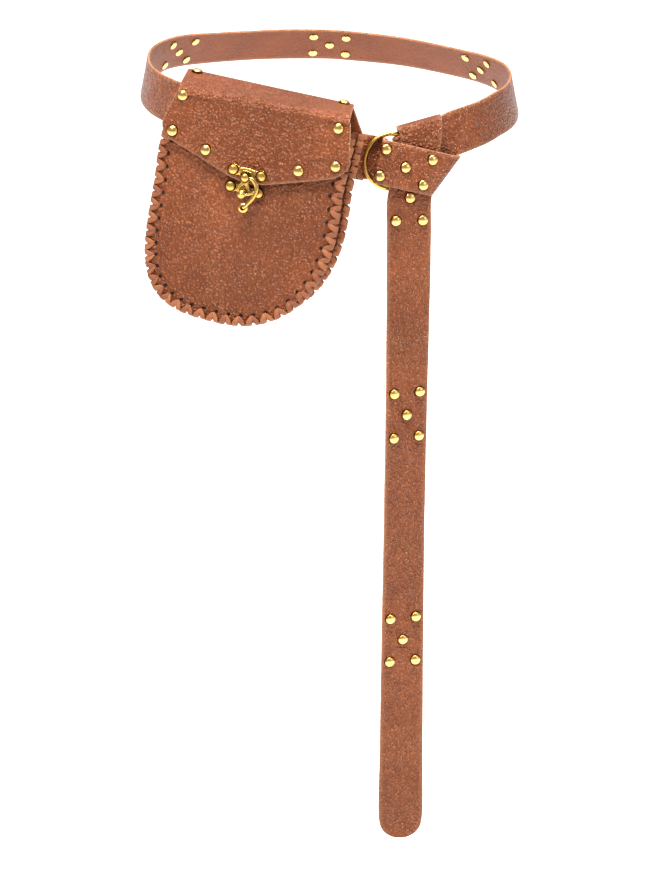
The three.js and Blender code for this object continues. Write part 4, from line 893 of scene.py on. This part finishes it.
def build_clasp():
    """Swing clasp: an upper plate with a raised strap, tongue, legs and pivot; a lower plate with the post;
    and the hook that swings on the pivot."""
    upper = Metal()
    upper.slab(eared_outline(PLATE_RISE, 3.4), 0, PLATE_THICK)
    for side in (-1, 1):
        upper.dome(side * DOMES_APART / 2, PLATE_RISE, PLATE_THICK, CLASP_DOME_WIDTH, CLASP_DOME_HEIGHT)
    rim_high = PLATE_THICK + 1.4
    upper.bar([(-6.6, 6.3), (-2.5, 6.9), (2.5, 6.9), (6.6, 6.3)], 1.5, PLATE_THICK - 0.5, rim_high)
    upper.bar([(-4.6, -1.0), (-4.9, 2.0), (-3.9, 4.3), (0, 4.9), (3.9, 4.3), (4.9, 2.0), (4.6, -1.0)],
              1.3, PLATE_THICK - 0.5, rim_high + 0.6)
    legs = POST_DROP - POST_WIDTH / 2 + 1.5
    notch = POST_WIDTH / 2 + GAP + 0.6
    arc = np.linspace(math.pi, 0, 13)
    tongue = [(-3.6, 3), (-3.2, -3.5), (-4.2, -7), (-6.9, -legs + 1.2), (-6.3, -legs)]
    tongue += [(notch * math.cos(a), -legs + 6.4 * math.sin(a)) for a in arc]
    tongue += [(6.3, -legs), (6.9, -legs + 1.2), (4.2, -7), (3.2, -3.5), (3.6, 3)]
    upper.slab(tongue, 0, PLATE_THICK + 0.3, soft=0.35)
    for side in (-1, 1):
        upper.bar([(side * 2.4, -1.5), (side * 2.5, -5), (side * 4.3, -8.2), (side * 6.0, -legs + 0.6)],
                  1.2, PLATE_THICK - 0.3, PLATE_THICK + 1.1)
    upper.dome(0, 0, 0.2, COLLAR_WIDTH, HOOK_LOW - GAP - 0.3, collar=False)
    upper.dome(0, 0, HOOK_HIGH + GAP, COLLAR_WIDTH, 2.3)
    pin, pin_top = PIVOT_WIDTH / 2, HOOK_HIGH + 0.6
    # the pivot pin between the collars gets a low value: a painted shade
    upper.add(*lathe([(0, 0.5), (pin, 0.5), (pin, pin_top), (0, pin_top)], 24), 0.2)
    upper.make("clasp_plate_upper", MAIN_BODY, ["clasp_upper"])

    lower = Metal()
    lower.slab(eared_outline(-LOWER_PLATE_DROP, 3.0), LOWER_Z, LOWER_Z + PLATE_THICK)
    for side in (-1, 1):
        lower.dome(side * DOMES_APART / 2, -LOWER_PLATE_DROP, LOWER_Z + PLATE_THICK, CLASP_DOME_WIDTH,
                   CLASP_DOME_HEIGHT)
    foot = LOWER_Z + PLATE_THICK / 2
    lower.dome(0, -POST_DROP, foot, COLLAR_WIDTH, 2.0)
    # the post is an upright ring: a rounded bar bent into an arch that the prong goes through
    prong_z = HOOK_LOW + HOOK_THICK / 2
    top = foot + POST_HEIGHT
    turn = np.linspace(-0.25 * math.pi, 1.25 * math.pi, 25)
    line = np.column_stack([0 * turn, -POST_DROP + 1.75 * np.cos(turn), prong_z + 2.35 * np.sin(turn)])
    line = np.vstack([[0, -POST_DROP + 1.0, foot], line, [0, -POST_DROP - 1.0, foot]])
    along = unit(np.gradient(line, axis=0))
    side = np.tile([1.0, 0, 0], (len(line), 1))
    up = np.cross(along, side)
    b = np.linspace(0, 2 * math.pi, POST_SIDES, endpoint=False)
    pts = (line[:, None, :] + side[:, None, :] * (np.cos(b) * POST_WIDTH * 0.42)[None, :, None]
           + up[:, None, :] * (np.sin(b) * 0.75)[None, :, None])
    # the post is darker at its foot on the plate and brighter towards its top: a painted shade and a painted
    # highlight
    bright = np.repeat(smooth(line[:, 2], foot, top), POST_SIDES)
    lower.add(pts.reshape(-1, 3), tube_faces(len(line), POST_SIDES), bright)
    lower.dome(0, -POST_DROP, top - 1.0, 6.6, 1.5, dimple=1.0, collar=False)
    lower.make("clasp_plate_lower", MAIN_BODY, ["clasp_lower"])

    hook = Metal()
    a = np.linspace(0, 2 * math.pi, EYE_COLUMNS, endpoint=False)[:, None]
    b = np.linspace(0, 2 * math.pi, EYE_SIDES, endpoint=False)
    inner, outer = PIVOT_WIDTH / 2 + GAP, PIVOT_WIDTH / 2 + HOOK_THICK
    radius = (inner + outer) / 2 + (outer - inner) / 2 * np.cos(b)
    eye = np.stack(np.broadcast_arrays(radius * np.cos(a), radius * np.sin(a),
                                       prong_z + HOOK_THICK / 2 * np.sin(b)), -1)
    # the eye is brighter on its upper side and darker below: a painted highlight and a painted shade
    hook.add(eye.reshape(-1, 3), tube_faces(EYE_COLUMNS, EYE_SIDES, closed=True),
             np.tile(np.clip(0.5 + 0.5 * np.sin(b), 0, 1), EYE_COLUMNS))
    keys = [(x * POST_DROP, y * POST_DROP) for x, y in HOOK_ARC]
    keys[0] = (outer - 0.8, keys[0][1] + 0.4)
    hook.bar(keys, HOOK_BAR, HOOK_LOW, HOOK_HIGH + 0.2, steps=8, taper=[0.8, 1.05, 1.15, 1.1, 0.95, 0.85])
    angles = np.radians([-99, -85, -65, -46])
    hook.bar(np.stack([POST_DROP * np.cos(angles), POST_DROP * np.sin(angles)], 1), PRONG_THICK,
             prong_z - PRONG_THICK / 2, prong_z + PRONG_THICK / 2, taper=[0.55, 0.85, 1, 1])
    x, y = HOOK_ARC[-1]
    hook.dome(x * POST_DROP, y * POST_DROP, HOOK_LOW - 0.2, HOOK_DISC, HOOK_THICK + 0.6, dimple=1.0,
              collar=False)
    hook.make("clasp_swing_hook", HOOK_BODY, ["clasp_hook"])


# ---------------------------------------------------------------- materials

MATERIALS = {}
TIMES, PLUS, MINUS = ({"operation": kind} for kind in ("MULTIPLY", "ADD", "SUBTRACT"))
STEP = {"interpolation_type": "SMOOTHSTEP"}
BLEND = {"data_type": "RGBA"}
PER_METRE = 1000.0        # a pattern's scale is this over the size of its cells in mm
WHITE = (1.0, 1.0, 1.0, 1.0)


def linear(colour):
    """sRGB hex as linear RGBA."""
    value = [int(colour[i:i + 2], 16) / 255 for i in (1, 3, 5)]
    return tuple(c / 12.92 if c <= 0.04045 else ((c + 0.055) / 1.055) ** 2.4 for c in value) + (1.0,)


def add_node(tree, kind, settings=None, inputs=(), output=0):
    """Adds a node with its settings and links, and returns its output of that name or number. inputs is a row
    for its first sockets, or a dictionary by name or number, of other nodes' outputs and plain values."""
    node = tree.nodes.new("ShaderNode" + kind)
    for key, value in (settings or {}).items():
        setattr(node, key, value)
    for key, value in inputs.items() if isinstance(inputs, dict) else enumerate(inputs):
        if isinstance(value, bpy.types.NodeSocket):
            tree.links.new(value, node.inputs[key])
        else:
            node.inputs[key].default_value = value
    return node.outputs[output] if node.outputs else None


def new_material(name):
    """An empty material, and the function that adds its nodes."""
    material = bpy.data.materials.new(name)
    material.use_nodes = True
    material.node_tree.nodes.clear()
    return material, partial(add_node, material.node_tree)


def leather_material(name, tones, cell, flat, holes):
    """Vegetable-tanned cowhide, pressed with a pebbled grain and waxed: semi-gloss pebbles of about two
    millimetres that sparkle in the light, with lighter tops, rubbing and a painted highlight, darker furrows
    and creases, grain colour and a painted shade, a smoother and duller flesh side, and pale cut edges."""
    deep, base, light, flesh, cut_tone = (linear(tone) for tone in tones)
    material, add = new_material(name)
    if flat:
        vector = add("Attribute", {"attribute_name": "flat"}, output="Vector")
    else:
        vector = add("TexCoord", output="Object")
    # the pebbles' outlines wander by half a millimetre over about 4 mm
    warp = add("TexNoise", None, {"Vector": vector, "Scale": 260.0, "Detail": 2.0}, "Color")
    warped = add("VectorMath", {"operation": "MULTIPLY_ADD"}, (warp, (0.0005,) * 3, vector))
    cells = add("TexVoronoi", {"feature": "SMOOTH_F1"}, {"Vector": warped, "Scale": PER_METRE / cell},
                "Distance")
    # pores of 0.5 mm, patches of 29 mm, tones of 110 mm, creases of 8 mm and the flesh side's nap of 1.1 mm
    fine, patches, broad, creases, nap = (
        add("TexNoise", None, {"Vector": at, "Scale": scale, "Detail": detail, "Roughness": rough,
                               "Distortion": bend}, "Fac")
        for at, scale, detail, rough, bend in (
            (warped, 1900.0, 4.0, 0.65, 0.0), (vector, 34.0, 4.0, 0.6, 0.0), (vector, 9.0, 2.0, 0.5, 0.0),
            (warped, 130.0, 3.0, 0.55, 0.5), (vector, 900.0, 5.0, 0.7, 0.0)))
    inner, cut, rim = (add("Attribute", {"attribute_name": key}, output="Fac")
                       for key in ("inner", "cut", "rim"))
    pebble = add("MapRange", STEP, (cells, 0.15, 0.6, 1.0, 0.0))
    crease = add("MapRange", STEP, (creases, 0.38, 0.52))
    amount = add("MapRange", STEP, (patches, 0.32, 0.68, 0.45, 1.0))

    # the grain side's tone, laid over the deep one: random broad tones and patches, then the deep tone in the
    # furrows between pebbles and in the creases, grain colour and a painted shade, and the light tone on the
    # pebbles' tops, rubbing and a painted highlight
    tone = deep
    for share, colour in (
            (add("MapRange", STEP, (broad, 0.3, 0.7, 0.35, 1.0)), base),
            (add("MapRange", STEP, (patches, 0.5, 0.8, 0.0, 0.3)), light),
            (add("Math", TIMES, (add("Math", MINUS, (1.0, pebble)), 0.5)), deep),
            (add("Math", TIMES, (add("Math", MINUS, (1.0, crease)), 0.3)), deep),
            (add("Math", TIMES, (add("MapRange", STEP, (cells, 0.32, 0.05)), 0.6)), light)):
        tone = add("Mix", BLEND, {0: share, 6: tone, 7: colour}, 2)
    rough = add("MapRange", STEP, (fine, 0.3, 0.7, 0.27, 0.4))
    height = add("Math", PLUS, (add("Math", TIMES, (pebble, amount)), add("Math", TIMES, (fine, 0.2))))
    height = add("Math", PLUS, (height, add("Math", TIMES, (crease, 0.6))))

    # the flesh side, then the dark line beside a cut edge and the pale cut itself
    soft = add("Mix", BLEND, {0: add("MapRange", STEP, (nap, 0.35, 0.7, 0.0, 0.5)), 6: flesh, 7: base}, 2)
    soft = add("Mix", BLEND, {0: add("MapRange", STEP, (patches, 0.3, 0.7, 0.0, 0.35)), 6: soft, 7: deep}, 2)
    line = add("Math", TIMES, (add("Math", TIMES, (rim, add("Math", MINUS, (1.0, cut)))), 0.45))
    for share, colour in ((inner, soft), (line, deep), (add("Math", TIMES, (cut, 0.75)), cut_tone)):
        tone = add("Mix", BLEND, {0: share, 6: tone, 7: colour}, 2)
    rough = add("Math", PLUS, (rough, add("Math", TIMES, (inner, 0.18))))
    grain = add("Math", TIMES, (height, add("Math", MINUS, (1.0, add("Math", TIMES, (inner, 0.8))))))
    height = add("Math", PLUS, (grain, add("Math", TIMES, (nap, add("Math", TIMES, (inner, 0.3))))))
    if holes:
        pit = add("Attribute", {"attribute_name": "pit"}, output="Fac")
        # the middle of each lace hole's pit is painted nearly black: a painted shade for the inside of a hole
        # that the mesh only dents
        share = add("MapRange", STEP, (pit, 0.22, 0.45))
        tone = add("Mix", BLEND, {0: share, 6: tone, 7: linear("#0C0503")}, 2)
        rough = add("Math", PLUS, (rough, add("Math", TIMES, (pit, 0.4))))
    normal = add("Bump", None, {"Height": height, "Strength": 1.0, "Distance": 0.0013}, "Normal")
    shader = add("BsdfPrincipled", None, {
        "Base Color": tone, "Roughness": rough, "Normal": normal, "IOR": 1.5, "Specular IOR Level": 0.42,
        "Specular Tint": (1.0, 0.76, 0.62, 1.0)})
    add("OutputMaterial", None, (shader,))
    return material


def lace_material():
    """Cut calf lace, unwaxed: dull, fine-grained and a little more orange than the panels."""
    material, add = new_material("calf_lace")
    vector = add("TexCoord", output="Object")
    tint = add("Attribute", {"attribute_name": "tint"}, output="Fac")
    # a nap of 0.7 mm, and tones of 3 mm where the lace is stretched
    nap, stretch = (
        add("TexNoise", None, {"Vector": vector, "Scale": scale, "Detail": detail, "Roughness": rough}, "Fac")
        for scale, detail, rough in ((1500.0, 5.0, 0.7), (300.0, 3.0, 0.6)))
    tone = linear("#7C4224")
    for source, bounds, colour in ((tint, (0.0, 1.0), "#A06038"), (stretch, (0.35, 0.7, 0.0, 0.6), "#8E5030"),
                                   (nap, (0.45, 0.8, 0.0, 0.5), "#B0784E")):
        share = add("MapRange", STEP, (source, *bounds))
        tone = add("Mix", BLEND, {0: share, 6: tone, 7: linear(colour)}, 2)
    normal = add("Bump", None, {"Height": add("Math", PLUS, (nap, stretch)), "Strength": 0.8,
                                "Distance": 0.0003}, "Normal")
    rough = add("MapRange", STEP, (nap, 0.3, 0.8, 0.6, 0.82))
    shader = add("BsdfPrincipled", None, {"Base Color": tone, "Roughness": rough, "Normal": normal,
                                          "IOR": 1.48})
    add("OutputMaterial", None, (shader,))
    return material


def brass_material(name, tones, attribute, polish_light_bounds, roughness):
    """Cast or pressed yellow brass with faint stains and pits. The attribute sets its tone: high values are
    polish where it is touched together with a painted highlight on tops, low values are tarnish brown in its
    recesses together with a painted shade at feet, undersides and grooves. tones are dark, middle and bright,
    and the argument after attribute gives its values for 0 and 1."""
    material, add = new_material(name)
    vector = add("TexCoord", output="Object")
    # stains of 2.4 mm and pits of 0.4 mm
    stain, pits = (
        add("TexNoise", None, {"Vector": vector, "Scale": scale, "Detail": detail, "Roughness": 0.6}, "Fac")
        for scale, detail in ((420.0, 4.0), (2400.0, 3.0)))
    # the attribute picks the tone: the dark end is a painted shade, with tarnish in recesses, the bright end
    # polish with a painted highlight
    tarnish_shade_polish_light = add("MapRange", STEP, (add("Attribute", {"attribute_name": attribute}, output="Fac"), *polish_light_bounds))
    spread = add("Math", TIMES, (add("Math", MINUS, (stain, 0.5)), 0.5))
    tarnish_shade_polish_light = add("MapRange", STEP, (add("Math", PLUS, (tarnish_shade_polish_light, spread)), 0.0, 1.0))
    tone = linear(tones[0])
    for bounds, colour in (((0.0, 0.45), tones[1]), ((0.45, 1.0), tones[2])):
        share = add("MapRange", STEP, (tarnish_shade_polish_light, *bounds))
        tone = add("Mix", BLEND, {0: share, 6: tone, 7: linear(colour)}, 2)
    polish = add("MapRange", STEP, (tarnish_shade_polish_light, 0.0, 1.0, roughness[1], roughness[0]))
    rough = add("Math", PLUS, (polish, add("Math", TIMES, (pits, 0.08))))
    height = add("Math", PLUS, (add("Math", TIMES, (stain, 0.6)), pits))
    normal = add("Bump", None, {"Height": height, "Strength": 0.35, "Distance": 0.00012}, "Normal")
    shader = add("BsdfPrincipled", None, {"Base Color": tone, "Roughness": rough, "Normal": normal,
                                          "Metallic": 1.0})
    add("OutputMaterial", None, (shader,))
    return material


def paper_material():
    """Matte paper sweep, with the faintest unevenness of its fibres, about 17 mm wide."""
    material, add = new_material("paper_sweep")
    fibres = add("TexNoise", None, {"Vector": add("TexCoord", output="Object"), "Scale": 60.0, "Detail": 2.0,
                                    "Roughness": 0.5}, "Fac")
    share = add("MapRange", STEP, (fibres, 0.3, 0.7, 0.0, 0.5))
    tone = add("Mix", BLEND, {0: share, 6: linear("#F4F4F4"), 7: linear("#F8F8F8")}, 2)
    shader = add("BsdfPrincipled", None, {"Base Color": tone, "Roughness": 0.9, "Emission Color": WHITE,
                                          "Emission Strength": 0.62})
    add("OutputMaterial", None, (shader,))
    return material


def make_materials(look):
    """All the finishes, from the colours in the panel."""
    tones = (look.leather_deep, look.leather_base, look.leather_light, look.leather_flesh, look.leather_cut)
    MATERIALS["belt"] = leather_material("pebbled_belt_leather", tones, look.grain_size, True, False)
    MATERIALS["panel"] = leather_material("pebbled_pouch_leather", tones, look.grain_size, False, True)
    MATERIALS["lace"] = lace_material()
    # the dark tone is a painted shade low on the brass, with tarnish in the clasp's recesses, and the bright
    # tone polish with a painted highlight on tops
    MATERIALS["rivet"] = brass_material("pressed_brass", ("#2E1A06", "#D09034", "#F6C97C"), "height",
                                        (0.45, 2.6), (0.2, 0.42))
    MATERIALS["ring"] = brass_material("drawn_brass_wire", ("#5A380E", "#B07C2A", "#DCAE58"), "height",
                                       (0.0, 2.4), (0.2, 0.36))
    MATERIALS["clasp"] = brass_material("antique_cast_brass", ("#1A0D03", "#A86E22", "#F2C068"), "shine",
                                        (0.4, 1.0), (0.22, 0.5))


# ---------------------------------------------------------------- stage

CAMERA_PLACE = (-0.004, -4.281, 1.109)
CAMERA_PITCH, CAMERA_LENS, SENSOR = 18.3, 210.0, 36.0
FLOOR_HALF, FLOOR_HEIGHT, FLOOR_COLUMNS = 9.0, -0.72, 41
WORLD_STRENGTH = 0.34
# Name, place, target, size, power and tint, in metres and watts.
LIGHTS = [
    ("key", (-1.3, -2.0, 2.2), (0, 0, -0.1), (0.5, 0.4), 32, (1.0, 0.98, 0.95)),
    ("fill", (2.2, -1.8, 0.9), (0, 0, -0.1), (1.2, 1.2), 10, (1, 1, 1)),
    ("top", (0.0, -0.75, 2.3), (0, 0, 0), (1.5, 0.4), 112, (1, 1, 1)),
    ("floor_wash", (0.0, 2.0, 3.4), (0, 2.5, -0.7), (5.0, 4.0), 160, (1, 1, 1))]


def area_light(name, place, target, size, power, tint):
    """A soft rectangular light aimed at a point."""
    data = bpy.data.lights.new(name, "AREA")
    data.shape = "RECTANGLE"
    data.size, data.size_y = size
    data.energy = power
    data.color = tint
    obj = bpy.data.objects.new(name, data)
    obj.location = place
    obj.rotation_euler = (Vector(target) - Vector(place)).to_track_quat("-Z", "Y").to_euler()
    bpy.context.scene.collection.objects.link(obj)


def build_stage():
    """Pale sweep under and behind the part, soft lights and the camera at the photograph's angle."""
    scene = bpy.context.scene
    t = np.linspace(-FLOOR_HALF, FLOOR_HALF, FLOOR_COLUMNS)
    x, y = np.meshgrid(t, t, indexing="ij")
    mesh = bpy.data.meshes.new("floor")
    mesh.from_pydata(np.stack([x, y, np.full_like(x, FLOOR_HEIGHT)], -1).reshape(-1, 3).tolist(), [],
                     grid_faces(FLOOR_COLUMNS, FLOOR_COLUMNS)[:, ::-1].tolist())
    mesh.materials.append(paper_material())
    floor = bpy.data.objects.new("floor", mesh)
    scene.collection.objects.link(floor)

    scene.world = bpy.data.worlds.new("studio")
    scene.world.use_nodes = True
    background = scene.world.node_tree.nodes["Background"]
    background.inputs["Color"].default_value = WHITE
    background.inputs["Strength"].default_value = WORLD_STRENGTH
    for light in LIGHTS:
        area_light(*light)

    data = bpy.data.cameras.new("camera")
    data.lens, data.sensor_width = CAMERA_LENS, SENSOR
    data.clip_start, data.clip_end = 0.1, 100.0
    camera = bpy.data.objects.new("camera", data)
    camera.location = CAMERA_PLACE
    camera.rotation_euler = (math.radians(90 - CAMERA_PITCH), 0, 0)
    scene.collection.objects.link(camera)
    scene.camera = camera
    scene.view_settings.view_transform = "Standard"


# ---------------------------------------------------------------- add-on

class PouchLook(bpy.types.PropertyGroup):
    """Sizes of the lace and the grain, and colours of the leather."""
    leather_deep: bpy.props.StringProperty(name="Deep tone", description="Creases and shade, sRGB hex",
                                           default="#5E2A10")
    leather_base: bpy.props.StringProperty(name="Base tone", description="Main leather colour, sRGB hex",
                                           default="#96502C")
    # the light tone on the pebbles' tops is rubbing together with a painted highlight
    leather_light: bpy.props.StringProperty(name="Light tone", description="Rubbed pebbles, sRGB hex",
                                            default="#B2744A")
    leather_flesh: bpy.props.StringProperty(name="Flesh side", description="Smooth inner side, sRGB hex",
                                            default="#7A3B1A")
    leather_cut: bpy.props.StringProperty(name="Cut edge", description="Raw cut edge, sRGB hex",
                                          default="#C48A66")
    grain_size: bpy.props.FloatProperty(name="Grain", description="Width of one pebble of the grain, in mm",
                                        default=2.1, min=0.5, max=6.0)
    lace_width: bpy.props.FloatProperty(name="Lace width", description="Width of the flat lace, in mm",
                                        default=4.9, min=2.0, max=6.0)
    lace_thick: bpy.props.FloatProperty(name="Lace thickness", description="Thickness of the lace, in mm",
                                        default=1.2, min=0.5, max=1.6)


class POUCH_OT_materials(bpy.types.Operator):
    """Make the leather, lace and brass materials"""
    bl_idname = "belt_pouch.make_finishes"
    bl_label = "Make finishes"

    def execute(self, context):
        make_materials(context.scene.pouch_look)
        return {"FINISHED"}


class POUCH_OT_strap(bpy.types.Operator):
    """Build the belt's strap with its knot and hanging end"""
    bl_idname = "belt_pouch.build_strap"
    bl_label = "Build strap"

    def execute(self, context):
        build_strap()
        return {"FINISHED"}


class POUCH_OT_ring(bpy.types.Operator):
    """Build the belt ring"""
    bl_idname = "belt_pouch.build_ring"
    bl_label = "Build ring"

    def execute(self, context):
        build_ring()
        return {"FINISHED"}


class POUCH_OT_rivets(bpy.types.Operator):
    """Build the domed rivets on the strap and the flap"""
    bl_idname = "belt_pouch.build_rivets"
    bl_label = "Build rivets"

    def execute(self, context):
        flap = sorted(node for node in NODES if node.startswith("rivet_flap_"))
        belt = sorted(node for node in NODES if node.startswith("rivet_") and node not in flap)
        build_rivets(belt, "belt_rivets", STRAP_THICK, CAP_HEIGHT)
        build_rivets(flap, "flap_rivets", LEATHER, FLAP_CAP_HEIGHT)
        return {"FINISHED"}


class POUCH_OT_body(bpy.types.Operator):
    """Build the pouch's panels, flap, gusset and belt loops"""
    bl_idname = "belt_pouch.build_pouch"
    bl_label = "Build pouch"

    def execute(self, context):
        build_front_panel()
        build_flap()
        build_gusset()
        build_loops()
        return {"FINISHED"}


class POUCH_OT_lace(bpy.types.Operator):
    """Lace the front and the back seam"""
    bl_idname = "belt_pouch.lace_seams"
    bl_label = "Lace seams"

    def execute(self, context):
        look = context.scene.pouch_look
        build_lace("lacing_front", -POUCH_DEPTH, 1, ["lace_front"], 11, look)
        build_lace("lacing_back", 0.0, -1, ["lace_back"], 12, look)
        return {"FINISHED"}


class POUCH_OT_clasp(bpy.types.Operator):
    """Build the swing clasp"""
    bl_idname = "belt_pouch.build_clasp"
    bl_label = "Build clasp"

    def execute(self, context):
        build_clasp()
        return {"FINISHED"}


class POUCH_OT_stage(bpy.types.Operator):
    """Set the floor, the lights and the camera"""
    bl_idname = "belt_pouch.build_stage"
    bl_label = "Build stage"

    def execute(self, context):
        build_stage()
        return {"FINISHED"}


OPERATORS = [POUCH_OT_materials, POUCH_OT_strap, POUCH_OT_ring, POUCH_OT_rivets, POUCH_OT_body,
             POUCH_OT_lace, POUCH_OT_clasp, POUCH_OT_stage]


class POUCH_PT_panel(bpy.types.Panel):
    """Lists the pieces and the colours."""
    bl_label = "Belt Pouch"
    bl_idname = "POUCH_PT_panel"
    bl_space_type = "VIEW_3D"
    bl_region_type = "UI"
    bl_category = "Belt Pouch"

    def draw(self, context):
        """Draws the properties, then the operators."""
        for key in PouchLook.__annotations__:
            self.layout.prop(context.scene.pouch_look, key)
        for item in OPERATORS:
            self.layout.operator(item.bl_idname)


def register():
    """Registers the classes and the scene's property."""
    for item in [PouchLook, *OPERATORS, POUCH_PT_panel]:
        bpy.utils.register_class(item)
    bpy.types.Scene.pouch_look = bpy.props.PointerProperty(type=PouchLook)


def unregister():
    """Takes back what register did."""
    del bpy.types.Scene.pouch_look
    for item in [POUCH_PT_panel, *reversed(OPERATORS), PouchLook]:
        bpy.utils.unregister_class(item)


def main():
    """Runs the operators in order."""
    register()
    for item in OPERATORS:
        group, call = item.bl_idname.split(".")
        getattr(getattr(bpy.ops, group), call)()


if __name__ == "__main__":
    main()
